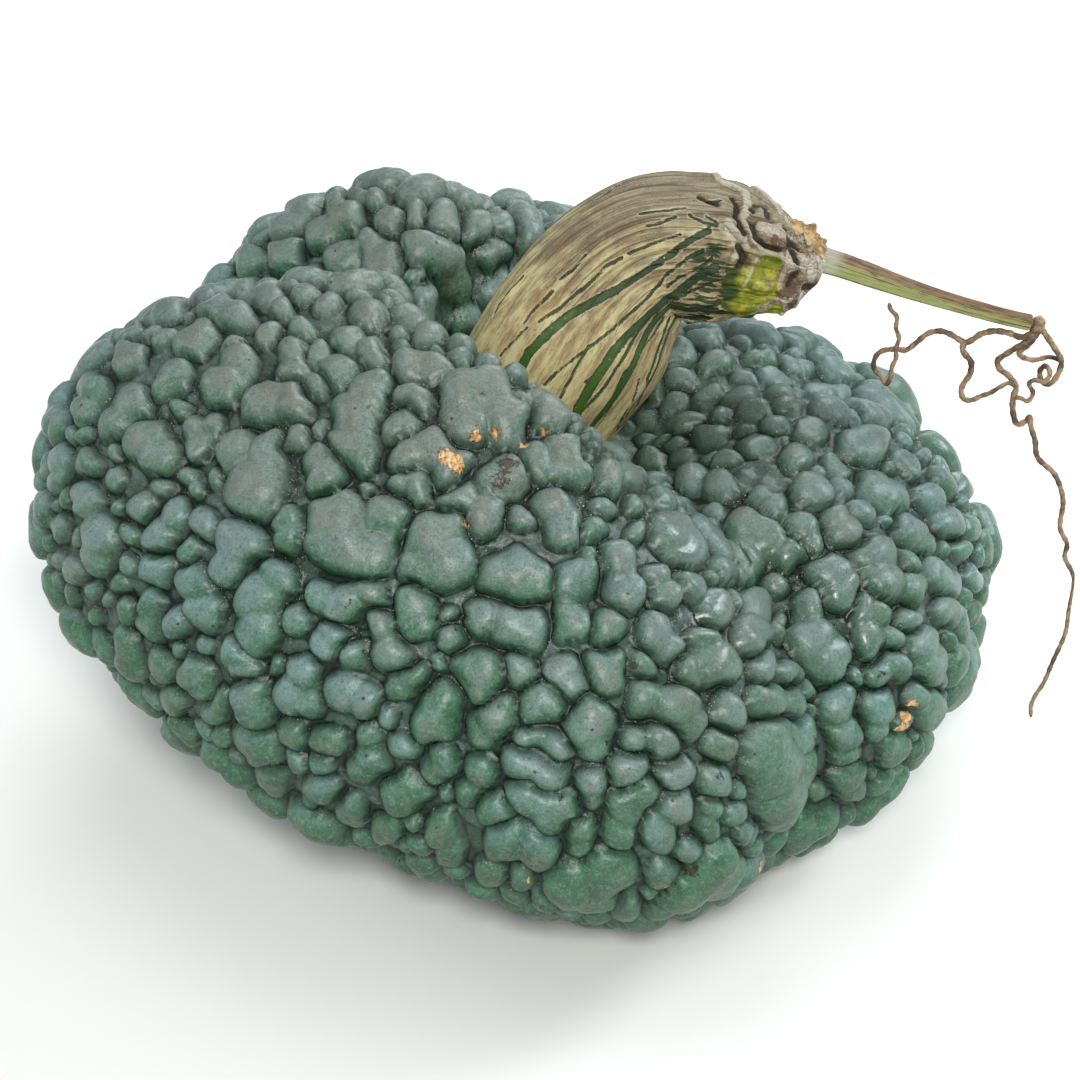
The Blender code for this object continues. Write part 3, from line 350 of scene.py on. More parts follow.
# warts read off the photograph: each line is one grown lump, its domes as x, y and radius in pixels
SEEN = (
    # front left lobe, top
    ((223, 381, 23), (236, 359, 20)),
    ((259, 397, 23), (291, 398, 24), (275, 391, 23)),
    ((288, 346, 17), (294, 367, 22), (310, 382, 16)),
    ((318, 343, 16), (334, 362, 20)),
    ((350, 336, 18), (366, 345, 19)),
    ((409, 359, 20), (433, 362, 20), (422, 353, 16)),
    ((441, 341, 13), (455, 351, 15)),
    ((393, 336, 10),),
    ((465, 389, 29), (484, 384, 29), (508, 408, 25), (471, 418, 21), (516, 429, 16)),
    ((489, 359, 15),),
    ((519, 359, 13),),
    ((524, 392, 15), (546, 408, 21), (551, 386, 13)),
    ((406, 386, 17), (414, 397, 16)),
    ((363, 389, 24), (350, 413, 23), (350, 443, 23), (361, 453, 19)),
    ((313, 453, 16), (323, 469, 21)),
    ((291, 434, 15),),
    ((232, 445, 24), (262, 448, 24), (251, 488, 31)),
    ((393, 424, 17), (406, 416, 13)),
    ((406, 448, 20), (430, 445, 24), (449, 461, 21)),
    ((393, 483, 13), (414, 488, 15)),
    ((463, 493, 20), (484, 507, 23), (506, 475, 24), (514, 488, 16)),
    ((535, 453, 17), (556, 469, 19), (575, 448, 20), (581, 472, 16)),
    ((334, 528, 29), (321, 544, 24), (350, 547, 29), (371, 555, 24), (334, 507, 24), (382, 515, 22)),
    ((428, 537, 28), (448, 557, 31), (411, 566, 21), (447, 535, 26)),
    ((499, 571, 22), (522, 572, 25), (535, 580, 21)),
    ((551, 501, 19), (570, 523, 20)),
    ((599, 520, 14),),
    ((605, 496, 14),),
    ((235, 547, 27), (224, 563, 21)),
    ((283, 515, 13), (283, 534, 15)),
    ((318, 595, 16), (342, 603, 21), (363, 590, 19)),
    ((248, 598, 25), (254, 630, 24), (275, 579, 19)),
    ((294, 625, 18),),
    ((318, 652, 17), (329, 635, 16)),
    ((374, 627, 17), (388, 652, 20)),
    ((409, 606, 21), (417, 625, 16)),
    ((484, 614, 19), (508, 627, 24), (522, 638, 19)),
    ((575, 582, 20), (570, 625, 20), (586, 571, 16), (589, 547, 13)),
    ((567, 670, 19), (575, 689, 16)),
    ((605, 668, 23),),
    ((479, 676, 24), (473, 692, 20)),
    ((535, 708, 21), (548, 713, 19)),
    ((229, 654, 17), (240, 670, 16)),
    ((246, 697, 23), (251, 719, 20)),
    ((299, 678, 20), (291, 705, 19), (305, 703, 16)),
    ((339, 692, 19), (361, 705, 20), (353, 662, 15)),
    ((398, 694, 13), (412, 681, 12)),
    ((436, 708, 21), (433, 729, 25)),
    ((492, 719, 19), (479, 737, 16), (505, 708, 12)),
    ((385, 721, 14),),
    # front left lobe, lower part
    ((246, 745, 20), (258, 761, 19)),
    ((262, 783, 19), (271, 793, 15)),
    ((290, 739, 17),),
    ((324, 745, 18),),
    ((316, 799, 18),),
    ((316, 769, 15),),
    ((364, 742, 14), (361, 764, 17), (357, 780, 15)),
    ((396, 751, 17),),
    ((392, 799, 22), (408, 796, 14)),
    ((443, 767, 17), (431, 774, 14)),
    ((472, 777, 16), (462, 796, 14)),
    ((520, 770, 22), (552, 777, 24)),
    ((526, 802, 24), (561, 812, 21), (545, 815, 24)),
    ((494, 815, 21),),
    ((501, 847, 22), (533, 850, 24)),
    ((437, 837, 21), (447, 856, 16)),
    ((380, 837, 18),),
    ((348, 818, 16),),
    ((593, 786, 16), (593, 805, 13)),
    ((580, 837, 16), (580, 853, 13)),
    ((631, 777, 22),),
    ((628, 812, 21), (625, 840, 21), (649, 802, 17)),
    ((571, 895, 28), (603, 879, 27), (590, 904, 25)),
    ((628, 914, 19),),
    ((485, 879, 17),),
    ((517, 888, 13),),
    ((596, 726, 25), (590, 748, 17)),
    ((529, 745, 16), (555, 751, 17)),
    ((185, 678, 20), (195, 690, 14)),
    ((211, 713, 18),),
    ((169, 707, 15),),
    ((166, 627, 20),),
    ((196, 652, 9),),
    ((188, 582, 18), (195, 612, 20)),
    # front left lobe, left end
    ((163, 294, 19), (153, 306, 13)),
    ((217, 301, 18), (237, 306, 18)),
    ((245, 283, 15), (263, 286, 15), (283, 299, 13)),
    ((189, 337, 19), (201, 324, 13)),
    ((166, 367, 19), (163, 380, 14)),
    ((122, 401, 22), (110, 416, 19)),
    ((143, 436, 22), (150, 459, 23)),
    ((153, 487, 15), (135, 505, 15)),
    ((186, 426, 13), (196, 441, 15), (209, 421, 11)),
    ((182, 475, 13), (186, 490, 10)),
    ((168, 513, 15), (156, 538, 18)),
    ((201, 521, 16),),
    ((148, 572, 19),),
    ((77, 505, 17), (74, 495, 13), (89, 541, 22), (89, 556, 18)),
    ((140, 605, 17), (145, 628, 18)),
    ((54, 459, 15), (48, 480, 13)),
    ((77, 462, 14),),
    ((28, 462, 12),),
    ((105, 477, 12),),
    ((51, 528, 12),),
    ((69, 571, 15), (51, 561, 11)),
    ((84, 385, 18), (74, 406, 15)),
    ((122, 352, 18),),
    ((125, 329, 14),),
    ((267, 324, 15),),
    ((301, 319, 14),),
    ((171, 406, 12),),
    ((125, 538, 11),),
    ((112, 587, 11),),
    ((97, 605, 9),),
    ((84, 597, 9),),
    ((87, 622, 9),),
    ((61, 597, 9),),
    # the crease between the lobes and the rib right of it
    ((580, 416, 9),),
    ((594, 424, 8),),
    ((604, 436, 8),),
    ((600, 454, 9),),
    ((622, 444, 10),),
    ((617, 475, 20), (637, 469, 17)),
    ((643, 503, 12),),
    ((637, 526, 12),),
    ((626, 552, 22), (632, 586, 23)),
    ((666, 572, 14), (672, 589, 16)),
    ((612, 624, 21),),
    ((683, 526, 23), (692, 543, 23), (675, 492, 13)),
    ((703, 584, 17), (724, 607, 19)),
    ((658, 630, 20), (678, 644, 17)),
    ((729, 664, 23), (698, 675, 17), (712, 638, 14)),
    ((643, 704, 20), (683, 710, 23), (695, 727, 19)),
    ((640, 739, 14), (666, 753, 19)),
    ((683, 776, 21),),
    ((681, 813, 20), (663, 836, 20)),
    ((738, 710, 19),),
    ((726, 747, 17),),
    ((721, 787, 20),),
    ((718, 813, 13), (718, 833, 14)),
    ((778, 698, 21), (801, 704, 17)),
    ((778, 739, 27), (807, 736, 20), (787, 767, 32), (790, 802, 34), (807, 773, 26)),
    # right lobe
    ((746, 523, 23), (744, 555, 24), (790, 549, 19), (767, 529, 20)),
    ((767, 601, 20), (758, 630, 22)),
    ((815, 607, 19), (818, 638, 26), (833, 658, 23)),
    ((770, 667, 16), (798, 670, 14)),
    ((830, 569, 24), (844, 587, 20)),
    ((758, 489, 14), (778, 503, 16), (801, 521, 16), (815, 538, 13)),
    ((836, 512, 17), (850, 523, 17)),
    ((879, 552, 23), (890, 578, 22), (919, 584, 17)),
    ((879, 486, 22), (896, 489, 22)),
    ((919, 526, 19), (930, 538, 13)),
    ((856, 437, 17), (879, 437, 20)),
    ((815, 422, 17),),
    ((706, 432, 16),),
    ((947, 569, 17), (956, 584, 17)),
    ((870, 612, 17), (884, 607, 14), (870, 638, 17), (901, 638, 14)),
    ((930, 647, 19), (939, 664, 20)),
    ((916, 618, 14),),
    ((953, 615, 16),),
    ((979, 618, 13),),
    ((927, 698, 14), (939, 713, 20)),
    ((907, 667, 17), (887, 675, 13)),
    ((884, 710, 19), (884, 733, 17)),
    ((844, 707, 19), (847, 739, 20), (853, 756, 17)),
    ((899, 756, 17),),
    ((856, 779, 19), (858, 799, 13)),
    ((689, 466, 20), (715, 475, 17)),
    ((646, 449, 16),),
    ((838, 460, 14),),
    ((982, 475, 16),),
    ((979, 523, 14),),
    ((968, 546, 12),),
    ((982, 578, 14),),
    ((927, 446, 11),),
    ((910, 434, 11),),
    ((933, 492, 16), (956, 515, 17)),
    ((755, 434, 17),),
    ((798, 449, 17),),
    # back left lobe
    ((427, 184, 25),),
    ((466, 186, 17), (481, 191, 16)),
    ((522, 203, 16), (534, 215, 18)),
    ((350, 189, 15), (374, 191, 15)),
    ((340, 206, 22), (321, 223, 19)),
    ((301, 203, 19), (284, 220, 19)),
    ((384, 212, 16),),
    ((410, 208, 16),),
    ((444, 206, 15), (454, 220, 15)),
    ((485, 220, 18), (505, 225, 19)),
    ((359, 240, 19), (379, 262, 22), (335, 252, 19)),
    ((427, 247, 17), (454, 264, 22), (466, 281, 17)),
    ((277, 252, 21), (241, 254, 17)),
    ((498, 254, 19),),
    ((299, 286, 14),),
    ((325, 291, 13),),
    ((371, 308, 19),),
    ((427, 320, 20),),
    ((408, 325, 11),),
    ((461, 329, 16),),
)


def unit(v):
    """Vectors at a length of 1."""
    return v / np.linalg.norm(v, axis=-1, keepdims=True)


def smooth(t):
    """0 up to t = 0, 1 from t = 1 on, and t^2 (3 - 2 t) between."""
    t = np.clip(t, 0, 1)
    return t * t * (3 - 2 * t)


def round_curve(values, angle):
    """A smooth closed curve through values given at even steps of angle."""
    n = len(values)
    c = np.fft.rfft(values) / n
    out = np.full_like(angle, c[0].real)
    for k in range(1, len(c)):
        weight = 1.0 if 2 * k == n else 2.0
        out = out + weight * (c[k] * np.exp(1j * k * angle)).real
    return out


def from_picture(x, y, depth):
    """The point with the given Y that shows at pixel x, y of the photograph."""
    ray = RIGHT * (x - AIM_X) + UP * (AIM_Y - y) - BACK * DISTANCE / MM_PER_PX
    return EYE + ray * (depth - EYE[1]) / ray[1]


def in_picture(points):
    """Pixels and distances of points."""
    d = points - EYE
    far = -(d @ BACK)
    scale = DISTANCE / MM_PER_PX / far
    return np.stack([AIM_X + d @ RIGHT * scale, AIM_Y - d @ UP * scale], 1), far


def to_row(points):
    """From the fruit's own axis to the shared frame."""
    t = LEAN * DEG
    x, y, z = points.T
    return np.stack([x * np.cos(t) + z * np.sin(t), y, z * np.cos(t) - x * np.sin(t)], 1) + HEART


def base_point(u):
    """The fruit without warts: a rounded cushion with valleys, a hollow for the stem and a flat rest.

    Its underside is settled level with the ground and swells a little at the blossom end.
    """
    turn = np.arctan2(u[:, 1], u[:, 0])
    c = u[:, 2]
    s = np.sqrt(np.clip(1 - c * c, 0, 1))
    r = (s ** SQUARE + np.abs(c) ** SQUARE) ** (-1 / SQUARE)
    out = round_curve(PLAN, turn) * s * r
    x, y = out * np.cos(turn), out * np.sin(turn)
    dx, dy = x - PIT_AT[0], y - PIT_AT[1]
    far = np.hypot(dx, dy)
    way = np.arctan2(dy, dx)
    away = 1 - np.exp(-(far / PIT_EASE) ** 2)
    cut = np.zeros_like(turn)
    for middle, depth, width in VALLEYS:
        off = np.abs((way - middle * DEG + np.pi) % (2 * np.pi) - np.pi) / (width * DEG)
        cut = cut + depth * np.exp(-off ** 1.5)
    rim = np.mean(TOP)
    keel = np.mean(BOTTOM)
    under = keel + (round_curve(BOTTOM, turn) - keel) * (1 - np.exp(-(out / KEEL_EASE) ** 2))
    height = np.where(c > 0, rim + (round_curve(TOP, turn) - rim) * away, under)
    z = height * c * r
    k = 1 - cut * s * (1 - VALLEY_UNDER * np.clip(-c, 0, 1)) * away / np.maximum(out, CORE)
    z = z - np.where(c > 0, cut * VALLEY_DIP * away * c, 0)
    wall = round_curve(PIT_WALL, way)
    inside = np.exp(-(np.maximum(far - PIT_FLAT, 0) / wall) ** 2)
    z = np.where(c > 0, z + (PIT_FLOOR - z) * inside, z)
    settled = x * np.tan(LEAN * DEG) * np.exp(-(out / SETTLED_WIDTH) ** 2) * np.clip(-c, 0, 1)
    from_button = (x - BUTTON_AT[0]) ** 2 + (y - BUTTON_AT[1]) ** 2
    button = BUTTON_DEEP * np.exp(-from_button / BUTTON_WIDTH ** 2)
    z = np.where(c > 0, z, z + settled - button)
    k = np.where(c > 0, k + (1 - k) * inside, k)
    p = to_row(np.stack([x * k, y * k, z], 1))
    p[:, 2] = np.maximum(p[:, 2], 0)
    return p


def base_frame(u):
    """Base points and outward normals."""
    side = np.where(np.abs(u[:, 2:]) < 0.9, np.array([[0, 0, 1.0]]), np.array([[1.0, 0, 0]]))
    e1 = unit(np.cross(side, u))
    e2 = np.cross(u, e1)
    step = 0.004
    a = base_point(unit(u + step * e1)) - base_point(unit(u - step * e1))
    b = base_point(unit(u + step * e2)) - base_point(unit(u - step * e2))
    return base_point(u), unit(np.cross(a, b) + 1e-9 * u)


def across_quads(points, quads):
    """The cross product of each quad's two diagonals, which points the way the quad faces."""
    a, b, c, d = points[quads.T]
    return np.cross(c - a, d - b)


def cube_sphere(n):
    """Directions and outward quads of a cube of n by n cells a side, blown up to a ball."""
    a = np.tan(np.linspace(-np.pi / 4, np.pi / 4, n + 1))
    A, B = np.meshgrid(a, a, indexing="ij")
    one = np.ones_like(A)
    sides = ((one, A, B), (-one, -A, B), (-A, one, B), (A, -one, B), (-B, A, one), (B, A, -one))
    points = np.concatenate([np.stack(s, -1).reshape(-1, 3) for s in sides])
    i, j = np.meshgrid(np.arange(n), np.arange(n), indexing="ij")
    corner = (i * (n + 1) + j).reshape(-1)
    quad = corner[:, None] + np.array([0, n + 1, n + 2, 1])
    quads = np.concatenate([quad + k * (n + 1) ** 2 for k in range(6)])
    key = np.round(points * 1e6).astype(np.int64)
    _, first, back = np.unique(key, axis=0, return_index=True, return_inverse=True)
    points = unit(points[first])
    quads = back.reshape(-1)[quads]
    out = across_quads(points, quads)
    inward = (points[quads[:, 0]] * out).sum(1) < 0
    quads[inward] = quads[inward][:, ::-1]
    return points, quads


def even_directions(n):
    """Directions spread evenly over a ball along one golden spiral."""
    k = np.arange(n) + 0.5
    z = 1 - 2 * k / n
    a = np.pi * (1 + 5 ** 0.5) * k
    r = np.sqrt(1 - z * z)
    return np.stack([r * np.cos(a), r * np.sin(a), z], 1)


def wart_limit(u):
    """The largest wart at each direction: by the angle from the top, less at the left and right."""
    tip = np.arccos(np.clip(u[:, 2], -1, 1))
    turn = np.arctan2(u[:, 1], u[:, 0]) / DEG
    left = np.exp(-(((turn - 195 + 180) % 360 - 180) / 35) ** 2) * (tip > 1.2)
    right = np.exp(-(((turn - 15 + 180) % 360 - 180) / 50) ** 2) * np.exp(-((tip - 0.6) / 0.25) ** 2)
    return np.interp(tip, WART_TIPS, WART_LIMITS) * (1 - 0.3 * left) * (1 - 0.35 * right)


def plant_warts():
    """Domes: centres, normals, radii, lump numbers, and the axis each is stretched along."""
    rng = np.random.default_rng(WART_SEED)
    u = even_directions(WART_PLACES)
    X, N = base_frame(u)
    pixel, far = in_picture(X + N * 5)
    facing = (N * unit(EYE - X)).sum(1)
    domes = []
    free = np.full(len(X), 1e9)
    for number, lump in enumerate(SEEN):
        for x, y, r in lump:
            off = np.hypot(pixel[:, 0] - x, pixel[:, 1] - y)
            near = np.flatnonzero((facing > EDGE_ON) & (off < CLOSE_PX))
            if len(near) == 0:
                near = np.flatnonzero((facing > EDGE_ON) & (off < WIDE_PX))
            if len(near) == 0:
                continue
            near = near[far[near] < far[near].min() + FRONT_DEPTH]
            i = near[np.argmin(off[near])]
            view = unit(EYE - X[i])
            axis = unit(view - N[i] * facing[i]) * (1 - max(facing[i], 0.38) ** 0.65)
            radius = r * MM_PER_PX * far[i] / DISTANCE
            domes.append((X[i], N[i], radius, number, axis))
            d = X - X[i]
            d = d - (d @ axis)[:, None] * unit(axis)
            free = np.minimum(free, np.linalg.norm(d, axis=1) - radius)
    for x, y, r in BARE_SKIN:
        off = np.hypot(pixel[:, 0] - x, pixel[:, 1] - y)
        free[(facing > EDGE_ON) & (off < r / MM_PER_PX)] = 0
    limit = wart_limit(u)
    number = len(SEEN)
    for size in WART_SIZES:
        while True:
            room = np.flatnonzero((free >= size * 0.97) & (limit >= size * 0.93))
            if len(room) == 0:
                break
            pick = room[rng.integers(len(room), size=min(6, len(room)))]
            i = pick[np.argmin(free[pick])]
            radius = size * rng.uniform(0.97, 1.05)
            free = np.minimum(free, np.linalg.norm(X - X[i], axis=1) - radius)
            way = rng.uniform(0, 2 * np.pi)
            a = unit(np.cross(N[i], (np.cos(way), np.sin(way), 0.3)))
            b = np.cross(N[i], a)
            parts = 1 if radius < LONE_WART else int(rng.integers(1, 4))
            for k in range(parts):
                t = 2 * np.pi * k / parts + rng.uniform(-0.4, 0.4)
                off = radius * rng.uniform(0.34, 0.46) if parts > 1 else 0
                r = radius * (rng.uniform(0.62, 0.74) if parts > 1 else 1)
                place = X[i] + (a * np.cos(t) + b * 0.8 * np.sin(t)) * off
                domes.append((place, N[i], r, number, a * 0.1))
            number += 1
    return [np.array(column) for column in zip(*domes)]


def ripple(points, size, count, seed):
    """A smooth wandering field: the sum of sine waves of about one size, running in every direction."""
    rng = np.random.default_rng(seed)
    total = np.zeros(len(points))
    for _ in range(count):
        way = unit(rng.normal(size=3)) * 2 * np.pi / (size * rng.uniform(0.8, 1.6))
        total += np.sin(points @ way + rng.uniform(0, 2 * np.pi))
    return total / np.sqrt(count / 2)


def wander(points):
    """Points shifted a little, smoothly, so that the bounds between warts aren't straight."""
    shift = [ripple(points, WANDER_SIZE, 8, seed) for seed in (31, 32, 33)]
    return points + WANDER * np.stack(shift, 1)


def lumps_near(X, warts, cell=12.0):
    """For each lump, its domes and the points within its reach, by a search in cubes."""
    C, _, R, lump, axis = warts
    low = X.min(0) - 1
    box = ((X - low) // cell).astype(int)
    size = box.max(0) + 1
    flat = (box[:, 0] * size[1] + box[:, 1]) * size[2] + box[:, 2]
    order = np.argsort(flat, kind="stable")
    flat = flat[order]
    edges = np.flatnonzero(np.diff(lump)) + 1
    for ks in np.split(np.arange(len(lump)), edges):
        c = C[ks].mean(0)
        long = (R[ks] + WART_REACH) / (1 - np.linalg.norm(axis[ks], axis=1))
        reach = (np.linalg.norm(C[ks] - c, axis=1) + long).max()
        lo = np.maximum(((c - reach - low) // cell).astype(int), 0)
        hi = np.minimum(((c + reach - low) // cell).astype(int), size - 1)
        found = []
        for i in range(lo[0], hi[0] + 1):
            for j in range(lo[1], hi[1] + 1):
                row = (i * size[1] + j) * size[2]
                p, q = np.searchsorted(flat, (row + lo[2], row + hi[2] + 1))
                found.append(order[p:q])
        near = np.concatenate(found) if found else order[:0]
        near = near[((X[near] - c) ** 2).sum(1) < reach * reach]
        if len(near):
            yield ks, near


def lump_field(X, N, C, NC, R, axis):
    """How far points lie outside one lump of domes, the way out, and the lump's height there.

    Distances to the domes' rims blend by -t log(sum exp(-d / t)), heights by a tenth-root sum. Where two
    domes of the lump meet, a fold runs in from the notch between them and fades towards the top.
    """
    total = np.zeros(len(X))
    high = np.zeros(len(X))
    pull = np.zeros((len(X), 3))
    first = np.full(len(X), 9.0)
    second = np.full(len(X), 9.0)
    for c, nc, r, a in zip(C, NC, R, axis):
        d = X - c
        d = d - nc * (d @ nc)[:, None] * 0.6
        d = d - (d @ a)[:, None] * unit(a)
        away = np.maximum(np.linalg.norm(d, axis=1), 1e-3)
        weight = np.exp(-np.clip(away - r, -30, 30) / BLEND)
        total += weight
        pull += (weight / away)[:, None] * d
        dome = np.sqrt(np.clip(1 - (away / (1.03 * r + 1.0)) ** 2, 0.02, 1))
        top = (WART_RISE * r + WART_LIFT) * dome
        high += np.where(N @ nc > 0.2, top, 0) ** 10
        second = np.minimum(second, np.maximum(first, away - r))
        first = np.minimum(first, away - r)
    fold = FOLD_DEPTH * np.exp((first - second) / FOLD_WIDTH + np.minimum(first, 0) / FOLD_REACH)
    out = -BLEND * np.log(np.maximum(total, 1e-13))
    return out, pull / np.maximum(total, 1e-13)[:, None], np.maximum(high ** 0.1 - fold, 0.3)


def nearest_two(X, N, warts):
    """How far each point lies outside its own lump and the next two, with slopes, heights and numbers."""
    C, NC, R, lump, axis = warts
    X = wander(X)
    bare = int(lump.max()) + 1
    out = np.full((3, len(X)), WART_REACH)
    out[1] += 6.0
    out[2] += 12.0
    slope = np.zeros((2, len(X), 3))
    high = np.full((2, len(X)), BARE_LIFT)
    owner = np.full((2, len(X)), bare)
    for ks, near in lumps_near(X, warts):
        far, way, tall = lump_field(X[near], N[near], C[ks], NC[ks], R[ks], axis[ks])
        facing = (N[near] @ NC[ks].T).max(1) > 0.2
        first = facing & (far < out[0][near])
        other = facing & ~first & (far < out[1][near])
        third = np.minimum(out[2][near], np.maximum(far, out[1][near]))
        out[2][near] = np.where(facing, third, out[2][near])
        for column in (out, slope, high, owner):
            column[1][near[first]] = column[0][near[first]]
        for rank, chosen in enumerate((first, other)):
            i = near[chosen]
            out[rank][i], slope[rank][i], high[rank][i] = far[chosen], way[chosen], tall[chosen]
            owner[rank][i] = lump[ks[0]]
    return out, slope, high, owner


def crease_distance(X, N, warts):
    """Heights of a point's lump and the next, distance to the crease, way to it, and lump numbers.

    Where three lumps meet, the distances to two creases blend by d - t log(1 + exp((d - e) / t)), so that
    corners are round.
    """
    out, slope, high, owner = nearest_two(X, N, warts)
    g = slope[0] - slope[1]
    g = g - N * (g * N).sum(1)[:, None]
    size = np.maximum(np.linalg.norm(g, axis=1), 0.3)
    gap = (out[1] - out[0]) / size
    third = (out[2] - out[0]) / CORNER_SLOPE
    gap = np.maximum(gap - CORNER * np.log1p(np.exp((gap - third) / CORNER)), 0)
    return high, gap, g / size[:, None], owner


def relief(X, N, warts):
    """Height over the base: valley + (top - valley) sqrt(1 - (1 - gap / shoulder) ^ 2), and the crease."""
    high, gap, way, owner = crease_distance(X, N, warts)
    bare = int(warts[3].max()) + 1
    beside_bare = (owner == bare).any(0)
    valley = np.where(beside_bare, BARE_LIFT * 0.5, VALLEY_SHARE * 0.5 * (high[0] + high[1]))
    shoulder = np.clip(0.75 * high[0], 1.0, SHOULDER)
    rim = np.sqrt(np.clip(1 - (1 - np.clip(gap / shoulder, 0, 1)) ** 2, 0, 1))
    return valley + (high[0] - valley) * rim, gap, way, owner[0]


def curve_through(points, count):
    """Even steps along a smooth curve through the points (rows may hold more than three values)."""
    p = np.asarray(points, float)
    p = np.vstack([2 * p[0] - p[1], p, 2 * p[-1] - p[-2]])
    t = np.linspace(0, len(p) - 3 - 1e-9, count * 8)
    i = t.astype(int)
    f = (t - i)[:, None]
    a, b, c, d = p[i], p[i + 1], p[i + 2], p[i + 3]
    square, cube = 2 * a - 5 * b + 4 * c - d, 3 * b - a - 3 * c + d
    q = 0.5 * (2 * b + (c - a) * f + square * f ** 2 + cube * f ** 3)
    run = np.r_[0, np.cumsum(np.linalg.norm(np.diff(q[:, :3], axis=0), axis=1))]
    even = np.linspace(0, run[-1], count)
    return np.stack([np.interp(even, run, column) for column in q.T], 1)


def stations(rows):
    """Picture rows x, y, depth, half width to points and radii in mm."""
    out = []
    for x, y, depth, half in rows:
        p = from_picture(x, y, depth)
        out.append((*p, half * MM_PER_PX * -((p - EYE) @ BACK) / DISTANCE))
    return np.array(out)


def fruit_axis():
    """The way up along the fruit's own axis: (sin lean, 0, cos lean)."""
    return np.array((np.sin(LEAN * DEG), 0, np.cos(LEAN * DEG)))


def stem_line(count):
    """Middle line, radii and section normals of the stem; its foot lies flat on the hollow's floor."""
    line = curve_through(stations(STEM), count)
    centre, radius = line[:, :3], line[:, 3]
    foot = to_row(np.array([(*PIT_AT, PIT_FLOOR + STEM_GAP)]))[0]
    s = np.linspace(0, 1, count)
    centre = centre + (foot - centre[0]) * (1 - smooth(s / 0.25))[:, None]
    tangent = unit(np.gradient(centre, axis=0))
    end = unit(from_picture(*STALK[-1][:3]) - from_picture(*STALK[0][:3]))
    normal = unit(fruit_axis() * (1 - smooth(s / 0.2))[:, None] + tangent * smooth(s / 0.2)[:, None])
    normal = unit(normal + (end - normal) * smooth((s - 0.9) / 0.09)[:, None])
    return s, centre, radius, normal


def stem_radius(s, turn, radius):
    """Lengthwise ridges, a flared foot and a knobbly end."""
    wander = turn + 0.35 * np.sin(2.2 * s + 1.0)
    ridge = 0.022 * np.cos(5 * wander + 0.6) + 0.013 * np.cos(11 * wander + 2.0 + 2 * s)
    ridge = ridge + 0.009 * np.cos(17 * wander + 5 * s)
    knob = 0.05 * np.cos(3 * turn + 9 * s) * np.cos(7 * turn - 31 * s)
    tail = smooth((s - 0.72) / 0.12) * (1 - smooth((s - 0.93) / 0.05))
    root = 1 - smooth((s - 0.93) / 0.05)
    return radius * (1 + ridge * root + knob * tail)


def close_tube(rings, centre):
    """Points and faces of a tube through rings of points, its ends closed by fans to their middles."""
    count, sides = rings.shape[:2]
    points = np.vstack([rings.reshape(-1, 3), centre[0], centre[-1]])
    i, j = np.meshgrid(np.arange(count - 1), np.arange(sides), indexing="ij")
    k = (j + 1) % sides
    here, ahead = i * sides, (i + 1) * sides
    quads = np.stack([here + j, here + k, ahead + k, ahead + j], -1).reshape(-1, 4)
    j, k = j[0], k[0]
    first = np.stack([np.full(sides, len(points) - 2), k, j], 1)
    last = np.stack([np.full(sides, len(points) - 1), (count - 1) * sides + j, (count - 1) * sides + k], 1)
    return points, [*quads.tolist(), *first.tolist(), *last.tolist()]


def keep_off_stem(points, gap):
    """Move points of the skin that lie within the stem, or nearer than the gap, out to its side."""
    _, centre, radius, _ = stem_line(120)
    near = np.flatnonzero(np.linalg.norm(points - centre[20], axis=1) < 110)
    p = points[near]
    clear = radius * STEM_SPREAD + gap
    d = np.linalg.norm(p[:, None] - centre[None], axis=2) - clear
    k = np.argmin(d, axis=1)
    inside = d[np.arange(len(p)), k] < 0
    above = (p - centre[0]) @ fruit_axis() > 0.05
    i = inside & above
    out = unit(p[i] - centre[k[i]])
    points[near[i]] = centre[k[i]] + out * clear[k[i]][:, None]
    return points


def lower_diagonals(points, quads, height):
    """Two triangles a quad, cut along the diagonal that runs lower, so creases stay unbroken."""
    h = height[quads]
    other = (h[:, 1] + h[:, 3]) < (h[:, 0] + h[:, 2])
    a = np.where(other[:, None], quads[:, (0, 1, 3)], quads[:, (0, 1, 2)])
    b = np.where(other[:, None], quads[:, (1, 2, 3)], quads[:, (0, 2, 3)])
    return np.vstack([a, b])


def carried_rings(centre, radius, sides):
    """Rings along a curling line, each turned as little as possible from the last."""
    tangent = unit(np.gradient(centre, axis=0))
    e1 = unit(np.cross(tangent[0], (0.3, 0.5, 0.8)))
    turn = np.arange(sides) * 2 * np.pi / sides
    rings = []
    for c, t, r in zip(centre, tangent, radius):
        e1 = unit(e1 - t * (t @ e1))
        e2 = np.cross(t, e1)
        rings.append(c + r * (np.cos(turn)[:, None] * e1 + np.sin(turn)[:, None] * e2))
    return np.array(rings)


def soft_stop(values, limit):
    """Values pressed together as they near a limit: limit - soft exp(-over / soft), so none passes it."""
    over = np.maximum(values - (limit - SOFT_STOP), 0)
    return np.where(over > 0, limit - SOFT_STOP * np.exp(-over / SOFT_STOP), values)


def within_box(points, box):
    """Points kept inside the solid model's box at every side but its flat underside."""
    low, high = np.array(box[0]) / MM, np.array(box[1]) / MM
    for k in range(3):
        points[:, k] = soft_stop(points[:, k], high[k])
    for k in range(2):
        points[:, k] = -soft_stop(-points[:, k], -low[k])
    points[:, 2] = np.maximum(points[:, 2], low[2])
    return points


